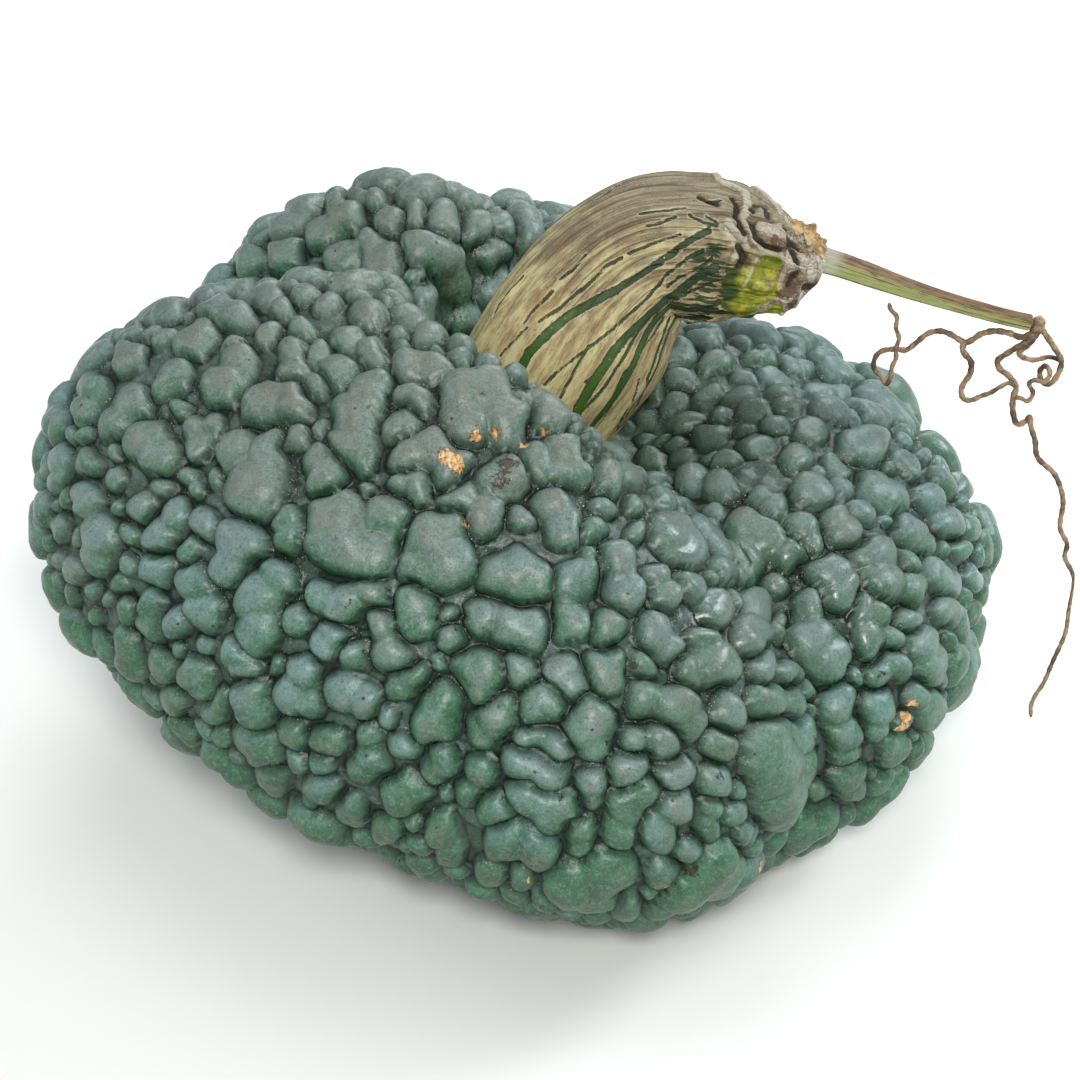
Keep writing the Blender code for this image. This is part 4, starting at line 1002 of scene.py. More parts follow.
def make_piece(name, points, faces, material, node, marks=()):
    """A smooth mesh that stands for a node; marks are values kept at its points for its material."""
    mesh = bpy.data.meshes.new(name)
    mesh.from_pydata((np.asarray(points) * MM).tolist(), [], [list(map(int, f)) for f in faces])
    mesh.update()
    mesh.shade_smooth()
    for mark, values in dict(marks).items():
        layer = mesh.attributes.new(mark, "FLOAT", "POINT")
        layer.data.foreach_set("value", np.ascontiguousarray(values, dtype=np.float32))
    mesh.materials.append(material)
    piece = bpy.data.objects.new(name, mesh)
    bpy.context.scene.collection.objects.link(piece)
    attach(piece, "root")
    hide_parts(node)
    return piece


def spot_at(points, normals, x, y):
    """The number of the point that shows at pixel x, y: the nearest to the eye of those close to it."""
    pixel, far = in_picture(points)
    off = np.hypot(pixel[:, 0] - x, pixel[:, 1] - y)
    seen = (normals * unit(EYE - points)).sum(1) > EDGE_ON
    near = np.flatnonzero(seen & (off < CLOSE_SPOT_PX))
    if len(near) == 0:
        near = np.flatnonzero(seen & (off < WIDE_SPOT_PX))
    return near[np.argmin(off[near] + 0.4 * (far[near] - far[near].min()))]


def near_spots(points, normals, spots):
    """For each point, how strongly it lies in one of the spots x, y, radius in mm: 1 inside, 0 outside."""
    mark = np.zeros(len(points))
    for x, y, radius in spots:
        middle = points[spot_at(points, normals, x, y)]
        mark = np.maximum(mark, np.exp(-((points - middle) ** 2).sum(1) / (radius * radius)))
    return mark


def totals(index, rows, count):
    """For each of count places, the sum of the rows whose index names it."""
    return np.stack([np.bincount(index, column, count) for column in rows.T], 1)


def facet_normals(points, quads):
    """Outward directions at points, from the quads round each."""
    across = np.repeat(across_quads(points, quads), 4, axis=0)
    return unit(totals(quads.reshape(-1), across, len(points)) + 1e-9)


def eased(points, quads, share):
    """Each point moved a share of the way to the mean of its neighbours along the edges."""
    a = quads.reshape(-1)
    b = np.roll(quads, -1, axis=1).reshape(-1)
    start, end = np.r_[a, b], np.r_[b, a]
    count = np.bincount(start, minlength=len(points))
    mean = totals(start, points[end], len(points)) / count[:, None]
    return points + share * (mean - points)


def rind_surface(n, warts):
    """The rind: base form plus relief, drawn in at the creases so each wart swells over its own foot.

    Points near a crease first slide onto it, so that creases run along edges. Sideways swelling is
    SWELL gap exp(-gap / SWELL_WIDTH), and two rounds of easing take the steps off steep flanks.
    """
    u, quads = cube_sphere(n)
    X, N = base_frame(u)
    cell = 2 * np.pi * MEAN_RADIUS / (4 * n)
    moved = np.zeros_like(X)
    for _ in range(3):
        _, gap, way, _ = crease_distance(X, N, warts)
        step = np.where(gap < 0.5 * cell, np.minimum(gap, 0.35 * cell), 0)[:, None] * way
        path = np.maximum(np.linalg.norm(moved + step, axis=1), 1e-6)
        step = step * np.minimum(1, 0.45 * cell / path)[:, None]
        X = X + step
        moved = moved + step
    high, gap, way, owner = relief(X, N, warts)
    floor = to_row(np.array([(*PIT_AT, PIT_FLOOR)]))[0]
    aside = np.linalg.norm(X - floor, axis=1)
    fade = smooth(X[:, 2] / REST_FADE) * smooth((aside - 33) / 9)
    high = high * (1 - 0.5 * near_spots(X, N, SUNKEN_SHADED))
    on_wart = smooth((high - BARE_LIFT) / 3)
    lumpy = 0.28 * ripple(X, 12, 12, 3) + 0.14 * ripple(X, 5.5, 14, 4)
    wrinkled = 0.5 * ripple(X, 4.5, 14, 8)
    rise = (high + lumpy * on_wart + wrinkled * (1 - on_wart) * smooth(gap / 1.5)) * fade
    swell = SWELL * gap * np.exp(-gap / SWELL_WIDTH) * fade
    P = X + N * rise[:, None] + way * swell[:, None]
    P = keep_off_stem(eased(eased(P, quads, 0.4), quads, 0.25), RIND_GAP)
    P = within_box(P, cad_box)
    return P, quads, high * fade, gap, owner


def thinned(piece, wanted):
    """The piece with its flatter parts in fewer triangles, down to the number wanted."""
    thin = piece.modifiers.new("thin", "DECIMATE")
    thin.ratio = wanted / len(piece.data.polygons)
    mesh = bpy.data.meshes.new_from_object(piece.evaluated_get(bpy.context.evaluated_depsgraph_get()))
    piece.modifiers.clear()
    piece.data = mesh
    mesh.shade_smooth()
    return piece


def make_rind(cells=230):
    """The rind: its surface, and the marks at its points that its finish reads."""
    warts = plant_warts()
    points, quads, high, gap, owner = rind_surface(cells, warts)
    normals = facet_normals(points, quads)
    rng = np.random.default_rng(TINT_SEED)
    lumps = int(warts[3].max()) + 1
    peak = np.zeros(lumps + 1)
    np.maximum.at(peak, owner, high)
    tint = rng.uniform(0, 1, lumps + 1)
    crown = smooth((high / np.maximum(peak[owner], 1) - 0.72) / 0.28)
    marks = {
        "crease": np.clip(gap, 0, 8),
        "rise": high,
        "tint": tint[owner],
        "crown": crown * (peak[owner] > 5),
        "patchy": 0.5 + 0.18 * ripple(points, 15, 14, 5),
        "broad": 0.5 + 0.25 * ripple(points, 60, 10, 6),
    }
    spots = {"scab": SCABS, "russet": RUSSET, "dust": DUST, "gloss": GLOSSY, "specks": SPECKLED,
             "sunken_shade": SUNKEN_SHADED, "crust": CRUSTS}
    marks.update({key: near_spots(points, normals, spots[key]) for key in spots})
    rind = make_piece("rind", points, lower_diagonals(points, quads, high), rind_finish(),
                      "squash_fruit", marks)
    return thinned(rind, RIND_TRIANGLES)


class Value:
    """A shader value that does arithmetic: each operator adds its Math node."""

    def __init__(self, paint, socket):
        self.paint = paint
        self.socket = socket

    def math(self, operation, *others):
        sockets = {0: self}
        sockets.update({k + 1: other for k, other in enumerate(others)})
        return self.paint.node("ShaderNodeMath", {"operation": operation}, sockets)

    def __add__(self, other):
        return self.math("ADD", other)

    def __radd__(self, other):
        return self.math("ADD", other)

    def __sub__(self, other):
        return self.math("SUBTRACT", other)

    def __rsub__(self, other):
        return self.math("MULTIPLY", -1.0).math("ADD", other)

    def __mul__(self, other):
        return self.math("MULTIPLY", other)

    def __rmul__(self, other):
        return self.math("MULTIPLY", other)

    def over(self, other):
        return self.math("MAXIMUM", other)

    def under(self, other):
        return self.math("MINIMUM", other)

    def ramp(self, low, high):
        """0 up to low, 1 from high on, and a smooth step between; low may be the greater."""
        settings = {"interpolation_type": "SMOOTHSTEP"}
        return self.paint.node("ShaderNodeMapRange", settings, {0: self, 1: low, 2: high, 3: 0.0, 4: 1.0})


class Paint:
    """A material and its nodes. Places are in millimetres on the object."""

    def __init__(self, name):
        self.material = bpy.data.materials.new(name)
        self.material.use_nodes = True
        self.tree = self.material.node_tree
        self.shader = self.tree.nodes["Principled BSDF"]
        place = self.node("ShaderNodeTexCoord", {}, {}, "Object")
        self.place = self.node("ShaderNodeVectorMath", {"operation": "SCALE"}, {0: place, "Scale": 1 / MM})

    def feed(self, socket, value):
        """Links a value to a socket, or sets the number or colour that the socket holds."""
        if isinstance(value, Value):
            self.tree.links.new(value.socket, socket)
        else:
            socket.default_value = value

    def node(self, kind, settings, sockets, out=0):
        """Any node: its kind, its settings, then the values or links of its sockets."""
        node = self.tree.nodes.new(kind)
        for key, value in settings.items():
            setattr(node, key, value)
        for key, value in sockets.items():
            self.feed(node.inputs[key], value)
        return Value(self, node.outputs[out])

    def part(self, axis):
        """One coordinate in mm: 0 for X, 1 for Y, 2 for Z."""
        return self.node("ShaderNodeSeparateXYZ", {}, {0: self.place}, axis)

    def grain_place(self, around, along):
        """A place for noise that runs lengthways on a tube: round it at a radius, and on along it."""
        round_x, round_y = self.mark("round_x"), self.mark("round_y")
        sockets = {0: round_x * around, 1: round_y * around, 2: self.mark("along") * along}
        return self.node("ShaderNodeCombineXYZ", {}, sockets)

    def noise(self, size, detail=3.0, rough=0.5, place=None, twist=0.0):
        """Soft noise between 0 and 1 whose blotches are about size mm."""
        sockets = {"Vector": place or self.place, "Scale": 1 / size, "Detail": detail, "Roughness": rough,
                   "Distortion": twist}
        return self.node("ShaderNodeTexNoise", {"noise_dimensions": "3D"}, sockets)

    def cells(self, size):
        """Distance to the nearest of points strewn about size mm apart, as a share of that."""
        sockets = {"Vector": self.place, "Scale": 1 / size}
        return self.node("ShaderNodeTexVoronoi", {"feature": "F1"}, sockets, "Distance")

    def mark(self, name):
        """A value kept at the piece's own points."""
        return self.node("ShaderNodeAttribute", {"attribute_name": name}, {}, "Fac")

    def mix(self, below, above, amount):
        """One colour laid over another."""
        sockets = {0: amount, 6: colour(below), 7: colour(above)}
        return self.node("ShaderNodeMix", {"data_type": "RGBA"}, sockets, 2)

    def layered(self, base, *layers):
        """A colour with others laid over it in turn, each given with its amount."""
        for above, amount in layers:
            base = self.mix(base, above, amount)
        return base

    def upward(self):
        """How far the surface looks up: 1 on top, -1 underneath."""
        sockets = {0: self.node("ShaderNodeNewGeometry", {}, {}, "Normal"), 1: (0, 0, 1)}
        return self.node("ShaderNodeVectorMath", {"operation": "DOT_PRODUCT"}, sockets, "Value")

    def bump(self, height, depth):
        """Relief of the given height field; depth is in mm at a height of 1."""
        sockets = {"Height": height * (depth * MM), "Distance": 1.0, "Strength": 1.0}
        return self.node("ShaderNodeBump", {}, sockets)

    def finish(self, base, roughness, normal, **more):
        """Feeds the shader: its colour, roughness and normal, then any more of its sockets by name."""
        sockets = {"Base Color": colour(base), "Roughness": roughness, "Normal": normal}
        sockets.update({key.replace("_", " "): value for key, value in more.items()})
        for name, value in sockets.items():
            self.feed(self.shader.inputs[name], value)
        return self.material


def colour(value):
    """A colour socket's value from three shares of red, green and blue; a link stays as it is."""
    return value if isinstance(value, Value) else (*value, 1.0)


def rind_finish():
    """Waxy blue-green rind: greyer bloom with a painted sky reflection above, greener flanks darkened below
    by painted shade, painted shade in near-black creases, scabs and dust.
    """
    paint = Paint("fruit_skin")
    crease, patchy, crown = paint.mark("crease"), paint.mark("patchy"), paint.mark("crown")
    up, high, side = paint.upward(), paint.part(2), paint.part(0)
    cloudy = paint.noise(9, 4.0, 0.6)
    fine = paint.noise(1.5, 5.0, 0.7)
    grain = paint.noise(0.6, 3.0, 0.6)
    green = paint.mix(GREEN_DEEP, GREEN_PALE, cloudy.ramp(0.3, 0.7))
    # waxy bloom and a painted sky reflection, stronger on faces that look up and on wart crowns
    bloom_sky = paint.mix(BLOOM_SKY_BLUE, BLOOM_SKY_GREY, paint.mark("broad").ramp(0.3, 0.7))
    bloom_sky = paint.mix(bloom_sky, BLOOM_SKY_WARM, (high + (cloudy - 0.5) * 60).ramp(110, 165) * 0.8)
    bloom_sky_amount = up * 0.6 + (cloudy - 0.5) * 0.7 + (paint.mark("tint") - 0.5) * 0.4
    bloom_sky_amount = bloom_sky_amount + crown * 0.25 + high * 0.003 - 0.3
    # painted shade: the right lobe's top made darker and greyer
    right_top_shade = side.ramp(0, 60) * high.ramp(70, 115)
    # painted shade in the groove right of the stem
    sunken_shade = paint.mark("sunken_shade") * (0.6 + (cloudy - 0.5) * 1.5)
    worn = paint.mark("russet") * paint.noise(3.0, 5.0, 0.75).ramp(0.4, 0.6)
    worn = worn.over(crown * patchy.ramp(0.5, 0.62) * fine.ramp(0.4, 0.6) * 0.8)
    speck = paint.cells(6.5).ramp(0.09, 0.05) * patchy.ramp(0.42, 0.56)
    dense = paint.cells(2.4).ramp(0.2, 0.1) * paint.mark("specks").ramp(0.1, 0.6)
    crust = (paint.mark("crust") + (fine - 0.5) * 2.0).ramp(0.55, 0.7)
    crumbs = paint.noise(0.55, 2.0, 0.5).ramp(0.64, 0.70) * patchy.ramp(0.38, 0.55)
    crumbs = crumbs * (crease.ramp(2.4, 0.9) * 0.8).over(paint.mark("dust")) * up.ramp(0.0, 0.5)
    cork_edge = paint.mark("scab") + (paint.noise(1.4, 5.0, 0.75) - 0.5) * 1.5
    scab = cork_edge.ramp(0.5, 0.6)
    cork = paint.mix(SCAB_ORANGE, SCAB_CREAM, fine.ramp(0.42, 0.6))
    skin = paint.layered(
        green,
        # waxy bloom and painted sky reflection on the upward faces
        (bloom_sky, bloom_sky_amount.ramp(-0.12, 0.82)),
        # painted shade: darker green on the faces that look down
        (PAINTED_SHADE_GREEN, (up + (cloudy - 0.5) * 0.4).ramp(0.35, -0.45) * 0.65),
        (SKIN_LIGHT, fine.ramp(0.5, 0.72) * 0.5),
        (SKIN_DARK, fine.ramp(0.48, 0.3) * 0.5),
        # painted shade on the right lobe's top
        (RIGHT_TOP_SHADE_GREY, right_top_shade * 0.45),
        # painted shade in the groove right of the stem
        (SUNKEN_SHADE_COLOUR, sunken_shade.under(1.0).over(0.0) * 0.9),
        (RUSSET_BROWN, worn * 0.5),
        # darker where the relief is low: the bare skin's own tone, partly painted shade in the valleys
        (SKIN_BARE_SHADED, paint.mark("rise").ramp(3.4, 0.9) * 0.7),
        (SKIN_DARK, grain.ramp(0.48, 0.34) * 0.45),
        (SKIN_LIGHT, grain.ramp(0.54, 0.68) * 0.3),
        # painted shade at the foot of each wart, within about 2 mm of the crease
        (CREASE_SHADE_GREEN, crease.ramp(2.1, 0.1) * 0.65),
        (SPECK_BROWN, speck.over(dense) * 0.85),
        (CRUST_BROWN, crust * 0.85),
        # painted shade: a near-black line along each crease
        (CREASE_SHADE_AND_SCAB_BLACK, (crease + (fine - 0.5) * 0.8).ramp(0.4, 0.0) * 0.85),
        (CRUMB_WHITE, crumbs * 0.9),
        # the scab's dark flecks
        (paint.mix(cork, CREASE_SHADE_AND_SCAB_BLACK, fine.ramp(0.42, 0.34)), scab),
    )
    glossy = paint.mark("gloss")
    roughness = 0.31 + (cloudy - 0.5) * 0.25 + (fine - 0.5) * 0.18
    roughness = roughness + scab * 0.35 + crumbs * 0.3 - glossy * 0.16
    height = cloudy * 0.25 + fine * 0.2 + scab * cork_edge * 0.5 + crumbs * 0.4
    height = height - speck * 0.15 + grain * 0.08 + crust * 0.25
    return paint.finish(skin, roughness, paint.bump(height, 1.0), Coat_Weight=glossy * 0.35,
                        Coat_Roughness=0.2, IOR=1.45)


def tube_grid(centre, normal, radius_at, sides):
    """Rings round a line: centre + r (cos turn e1 + sin turn e2), one a station, e1 turned towards +Y."""
    ahead = np.array((0, 1.0, 0))
    e1 = unit(ahead - normal * (normal @ ahead)[:, None])
    e2 = np.cross(normal, e1)
    turn = np.arange(sides) * 2 * np.pi / sides
    s = np.linspace(0, 1, len(centre))
    r = radius_at(s[:, None], turn[None, :])[..., None]
    turn = turn[:, None]
    return centre[:, None] + r * (np.cos(turn) * e1[:, None] + np.sin(turn) * e2[:, None])


def grain_field(s, turn, fine, seed):
    """Lengthwise grain: cosines of whole turns round the stem, which wander slowly along it."""
    rng = np.random.default_rng(seed)
    total = np.zeros(np.broadcast(s, turn).shape)
    for k in fine:
        wander = rng.uniform(0.5, 1.6) * np.sin(rng.uniform(2, 6) * s + rng.uniform(0, 6))
        swing = 0.35 * np.sin(turn * 2 + rng.uniform(0, 6) + 3 * s)
        gust = 0.6 + 0.4 * np.sin(rng.uniform(8, 20) * s + 3 * turn + rng.uniform(0, 6))
        total = total + gust * np.cos(k * turn + wander + swing * np.sqrt(k) + rng.uniform(0, 6))
    return total / np.sqrt(len(fine))


def crack_field(s, turn):
    """The grain whose noughts are the stem's cracks."""
    return grain_field(s, turn, (13, 17, 22, 27, 33), 8)


def fine_stem_radius(s, turn, radius):
    """The solid's ridges and knobs, with dents, grain and cracks along the body and folds at the neck.

    The dents and the grain are cosines of whole turns, cracks are 0.45 exp(-(grain / 0.1)^2) deep, and
    folds are the product of two sines that wind round the neck in opposite ways. All are in mm.
    """
    base = stem_radius(s, turn, radius)
    body = 1 - smooth((s - 0.9) / 0.06)
    dents = 0.55 * grain_field(s * 2.2, turn, (2, 3, 4, 6), 4)
    grain = 0.10 * grain_field(s, turn, (19, 23, 29, 31, 37), 5)
    grain = grain + 0.06 * grain_field(s, turn, (47, 53, 61, 71), 6)
    cracks = 0.45 * np.exp(-((crack_field(s, turn) / 0.10) ** 2)) * smooth((s - 0.35) / 0.3)
    neck = smooth((s - 0.62) / 0.08) * (1 - smooth((s - 0.93) / 0.04))
    folds = np.abs(np.sin(13 * turn + 22 * s + 2.0 * np.sin(3 * turn)))
    folds = 0.8 * folds * np.abs(np.sin(5 * turn - 37 * s + 1.3 * np.sin(2 * turn + 1)))
    return base + (dents + grain - cracks) * body + neck * (folds - 0.3)


def nearest_on_lines(points, lines):
    """Distance of each point to the nearest of several broken lines, less each line's half width."""
    best = np.full(len(points), 1e3)
    for half, line in lines:
        for a, b in zip(line[:-1], line[1:]):
            along = np.clip(((points - a) @ (b - a)) / max((b - a) @ (b - a), 1e-9), 0, 1)
            away = np.linalg.norm(points - a - along[:, None] * (b - a), axis=1)
            best = np.minimum(best, away - half)
    return best


def laid_lines(rows, points, normals):
    """Lines read off the photograph, laid on the points that show there, each with its half width."""
    lines = []
    for half, pixels in rows:
        lines.append((half, points[[spot_at(points, normals, x, y) for x, y in pixels]]))
    return lines


def stripe_lines(points, normals, rings):
    """The read stripes laid on the stem, and others run along its unseen sides by formula."""
    lines = laid_lines(STRIPES, points, normals)
    count, sides = rings.shape[:2]
    rng = np.random.default_rng(BACK_SEED)
    first, last = BACK_STRIPES
    for turn in np.arange(first, last, BACK_STEP):
        half = rng.choice(BACK_HALVES)
        start, stop = rng.uniform(0.0, 0.2), rng.uniform(0.5, 0.85)
        s = np.linspace(start, stop, 12)
        swung = turn + rng.uniform(-6, 6) + 9 * np.sin(3 * s + turn)
        column = np.round(swung / 360 * sides).astype(int) % sides
        lines.append((half, rings[np.round(s * (count - 1)).astype(int), column]))
    return lines


def line_bump(away, width):
    """1 on a line, and exp(-(d / width)^2) at a distance d from its edge."""
    return np.exp(-(np.maximum(away, 0) / width) ** 2)


def make_stem(count=340, sides=256):
    """The stem: its solid's tube with fine grain, bark ridges raised and crevices and stripes sunk.

    Each is its height or depth times exp(-(d / width)^2), where d is the distance from its line's edge.
    """
    s, centre, radius, normal = stem_line(count)
    rings = tube_grid(centre, normal, lambda a, t: fine_stem_radius(a, t, radius[:, None]), sides)
    body = rings.reshape(-1, 3)
    normals = unit(body - np.repeat(centre, sides, 0))
    stripes = nearest_on_lines(body, stripe_lines(body, normals, rings))
    from_bark = nearest_on_lines(body, laid_lines(BARK_RIDGES, body, normals))
    from_crevice = nearest_on_lines(body, laid_lines(CREVICES, body, normals))
    ridge = line_bump(from_bark, RIDGE_WIDTH)
    crevice = line_bump(from_crevice, CREVICE_WIDTH)
    turn = np.tile(np.arange(sides) * 2 * np.pi / sides, count)
    along = np.repeat(s, sides)
    values = {"stripe": np.clip(stripes, -3, 9), "along": along, "grain": crack_field(along, turn),
              "ridge": ridge, "crevice": crevice, "round_x": np.cos(turn), "round_y": np.sin(turn)}
    spots = {"fresh": FRESH, "mottled": MOTTLED, "rotten": ROTTEN, "tan": TAN_PATCHES}
    values.update({key: near_spots(body, normals, spots[key]) for key in spots})
    ends = {"stripe": (9, 9), "along": (0, 1)}
    marks = {key: np.r_[values[key], ends.get(key, (0, 0))] for key in values}
    sunk = STRIPE_DEEP * line_bump(stripes, STRIPE_WIDTH) * (1 - smooth((along - 0.9) / 0.05))
    shift = RIDGE_HIGH * ridge * (1 - crevice) - CREVICE_DEEP * crevice - sunk
    body = body + normals * (shift * smooth((0.985 - along) / 0.02))[:, None]
    points, faces = close_tube(body.reshape(count, sides, 3), centre)
    points = within_box(points, cad_box)
    return make_piece("cork_stem", points, faces, stem_finish(), "peduncle", marks)


def stem_finish():
    """Dry cork: cream and tan grain, green stripes, a grey weathered top darkened further as painted shade,
    mottled neck, fresh underside.
    """
    paint = Paint("cork")
    along, up = paint.mark("along"), paint.upward()
    lengthways = paint.grain_place(26, 26)
    streak = paint.noise(2.4, 5.0, 0.68, lengthways)
    thread = paint.noise(0.8, 3.0, 0.65, lengthways)
    broken = paint.noise(1.5, 3.0, 0.6, lengthways)
    cloudy = paint.noise(7, 4.0, 0.62)
    grit = paint.noise(0.7, 4.0, 0.7)
    tail = along.ramp(0.7, 0.86)
    tanned = (cloudy * 0.6 + paint.mark("tan") * 0.35 + (streak - 0.5) * 0.8).ramp(0.5, 0.7)
    # grey weathering, with painted shade that darkens the faces which look up and towards the end
    weathered_and_shaded = up * 0.5 + (along - 0.3) * 0.9 + (cloudy - 0.5) * 0.8 + (streak - 0.5) * 0.8
    crack = paint.mark("grain").math("ABSOLUTE").ramp(0.13, 0.03) * along.ramp(0.35, 0.6)
    pits = (grit * 0.6 + thread * 0.4).ramp(0.40, 0.3)
    peppered = (cloudy + (along - 0.45) * 0.5 + (streak - 0.5) * 0.6).ramp(0.48, 0.62)
    peppered = paint.cells(1.3).ramp(0.2, 0.1) * peppered
    cork = paint.layered(
        CORK_CREAM,
        (CORK_TAN, (streak * 0.8 + cloudy * 0.2).ramp(0.40, 0.60)),
        # paler cream foot: its own tone, partly painted light where the foot lies in shade
        (FOOT_CREAM_LIT, (along + (cloudy - 0.5) * 0.25).ramp(0.28, 0.02) * 0.5),
        (CORK_BROWN, (thread * 0.65 + streak * 0.35).ramp(0.50, 0.62) * (0.35 + along * 0.5)),
        (CORK_ORANGE, tanned * 0.55),
        # grey weathering with painted shade on the top
        (paint.mix(CORK_GREY, CORK_DARK, (streak * 0.55 + grit * 0.45).ramp(0.42, 0.6)),
         weathered_and_shaded.ramp(0.2, 0.75) * 0.8),
        (CRACK_BROWN, crack * 0.5),
        (CRACK_BROWN, pits * 0.55),
        (CREVICE_DARK, peppered * 0.7),
    )
    edge = paint.mark("stripe") + (thread - 0.5) * 1.2 + (grit - 0.5) * 1.0 + (streak - 0.5) * 0.8
    rim = edge.ramp(0.75, 0.35) * edge.ramp(0.05, 0.35)
    stripe = edge.ramp(0.2, -0.1)
    faded = (along + (cloudy - 0.5) * 0.5 - edge.under(0) * -0.12).ramp(0.2, 0.55)
    green = paint.layered(STRIPE_GREEN, (STRIPE_DARK, faded), (STRIPE_DARK, edge.ramp(-0.5, 0.0) * 0.6))
    flecks = paint.cells(2.2).ramp(0.13, 0.06) * edge.ramp(-0.2, -0.6)
    mottle = (paint.mark("mottled") * 0.55 + (broken - 0.5) * 1.5).ramp(0.36, 0.46)
    fresh = (paint.mark("fresh") + (cloudy - 0.5) * 0.9 + (grit - 0.5) * 0.5).ramp(0.42, 0.6)
    flesh = paint.layered(
        FRESH_YELLOW,
        (FRESH_GREEN, paint.noise(3.6, 5.0, 0.65).ramp(0.36, 0.6)),
        (FRESH_PALE, paint.noise(2.2, 4.0, 0.6, twist=0.8).ramp(0.6, 0.7) * 0.6),
        (FRESH_DARK, paint.mark("mottled").ramp(0.1, 0.75)),
    )
    tip = (along + (cloudy - 0.5) * 0.12).ramp(0.82, 0.88) * (1 - fresh)
    stain = (paint.noise(3.2, 5.0, 0.78) + tail * 0.06).ramp(0.56, 0.63) * tail * (1 - fresh)
    bark = paint.mix(TIP_WHITE, CORK_ORANGE, (cloudy * 0.5 + grit * 0.5).ramp(0.5, 0.62) * 0.8)
    rotten = (paint.mark("rotten") + (grit - 0.5) * 1.2).ramp(0.35, 0.6)
    cork = paint.layered(
        cork,
        (RIM_CREAM, rim * 0.35),
        (green, stripe * 0.95),
        (FLECK_WHITE, flecks * 0.85),
        (STRIPE_DARK, mottle * 0.9),
        (flesh, fresh),
        (paint.mix(TIP_WHITE, TIP_BROWN, (grit * 0.5 + cloudy * 0.5).ramp(0.44, 0.54)), tip * 0.85),
        (STAIN_DARK, stain * 0.75),
        (bark, paint.mark("ridge").ramp(0.4, 0.95) * (0.85 - grit * 0.7)),
        (ROT_BROWN, rotten * 0.85),
        (CREVICE_DARK, (paint.mark("crevice") + (grit - 0.5) * 0.5).ramp(0.22, 0.75) * 0.95),
    )
    roughness = 0.8 + (streak - 0.5) * 0.2 - stripe * 0.32 - fresh * 0.3 - tail * 0.1
    height = streak * 0.35 + thread * 0.2 + grit * 0.22 + cloudy * 0.4 - crack * 0.3 - stripe * 0.3
    height = height + flecks * 0.2 - pits * 0.1 - mottle * 0.15 + rim * 0.12
    return paint.finish(cork, roughness, paint.bump(height, 1.0))


def make_bract():
    """The dry leafy scrap where the vine joins: a strip that curls over along its length.

    Its middle line runs through listed places; across it the strip sags as a parabola and its rim waves.
    """
    line = curve_through([from_picture(*row) for row in BRACT], 60)
    tangent = unit(np.gradient(line, axis=0))
    side = unit(np.cross(tangent, BACK))
    lift = np.cross(side, tangent)
    s = np.linspace(0, 1, 60)[:, None]
    t = np.linspace(-1, 1, 17)[None, :]
    torn = 1 + 0.28 * np.sin(23 * s + 2 * t) + 0.2 * np.sin(41 * s + 3 * t)
    wide = BRACT_WIDTH * np.sqrt(np.sin(np.pi * np.clip(s, 0.02, 0.98))) * torn
    sag = 1.8 * t * t * np.sin(np.pi * s) + 0.45 * np.sin(14 * s + 3 * t) * np.abs(t)
    upper = line[:, None] + side[:, None] * (wide * t)[..., None] + lift[:, None] * (sag + 0.35)[..., None]
    lower = upper - lift[:, None] * 0.7
    ring = np.concatenate([upper, lower[:, ::-1]], axis=1)
    points, faces = close_tube(ring, (upper[:, 8] + lower[:, 8]) / 2)
    return make_piece("bract", points, faces, dry_finish("dry_bract", BRACT_TAN, BRACT_BROWN, 1.2),
                      "peduncle")


def make_stalk(count=150, sides=96):
    """The vine: a tube with five grooves and fine threads that twist slowly round it."""
    line = curve_through(stations(STALK), count)
    centre, radius = line[:, :3], line[:, 3]
    normal = np.repeat(unit(centre[-1] - centre[0])[None], count, 0)

    def radius_at(s, turn):
        grooves = 0.06 * np.cos(5 * turn + 0.4 * s) + 0.04 * np.cos(10 * turn + 0.8 * s + 1.5)
        threads = 0.018 * np.cos(31 * turn + 3 * s) + 0.012 * np.cos(43 * turn - 5 * s)
        return radius[:, None] * (0.98 + grooves + threads)

    rings = tube_grid(centre, normal, radius_at, sides)
    points, faces = close_tube(rings, centre)
    turn = np.tile(np.arange(sides) * 2 * np.pi / sides, count)
    marks = {"along": np.r_[np.repeat(np.linspace(0, 1, count), sides), 0, 1],
             "round_x": np.r_[np.cos(turn), 0, 0], "round_y": np.r_[np.sin(turn), 0, 0]}
    return make_piece("vine", points, faces, vine_finish(), "vine_stalk", marks)


def vine_finish():
    """Grooved vine: dark brown and dry above, olive green below, paler near the stem."""
    paint = Paint("dry_vine")
    along = paint.mark("along")
    streak = paint.noise(0.9, 4.0, 0.6, paint.grain_place(3.4, 9))
    up = paint.upward()
    green = paint.mix(VINE_OLIVE, VINE_PALE, streak.ramp(0.4, 0.7))
    brown = paint.mix(VINE_BROWN, VINE_DARK, streak.ramp(0.4, 0.65))
    skin = paint.mix(green, brown, (up * 0.8 + (streak - 0.5) * 1.3 + along * 0.2).ramp(0.1, 0.55))
    skin = paint.mix(skin, VINE_ROOT, along.ramp(0.12, 0.02) * 0.5)
    roughness = 0.62 + (streak - 0.5) * 0.3
    return paint.finish(skin, roughness, paint.bump(streak, 0.3))


def dry_finish(name, light, dark, size):
    """Dry plant skin in two browns, speckled and slightly wrinkled."""
    paint = Paint(name)
    cloudy = paint.noise(size * 2.4, 3.0, 0.6)
    fine = paint.noise(size * 0.5, 4.0, 0.7)
    skin = paint.mix(light, dark, (cloudy * 0.6 + fine * 0.4).ramp(0.42, 0.6))
    roughness = 0.7 + (fine - 0.5) * 0.25
    return paint.finish(skin, roughness, paint.bump(fine * 0.6 + cloudy * 0.4, 0.25))


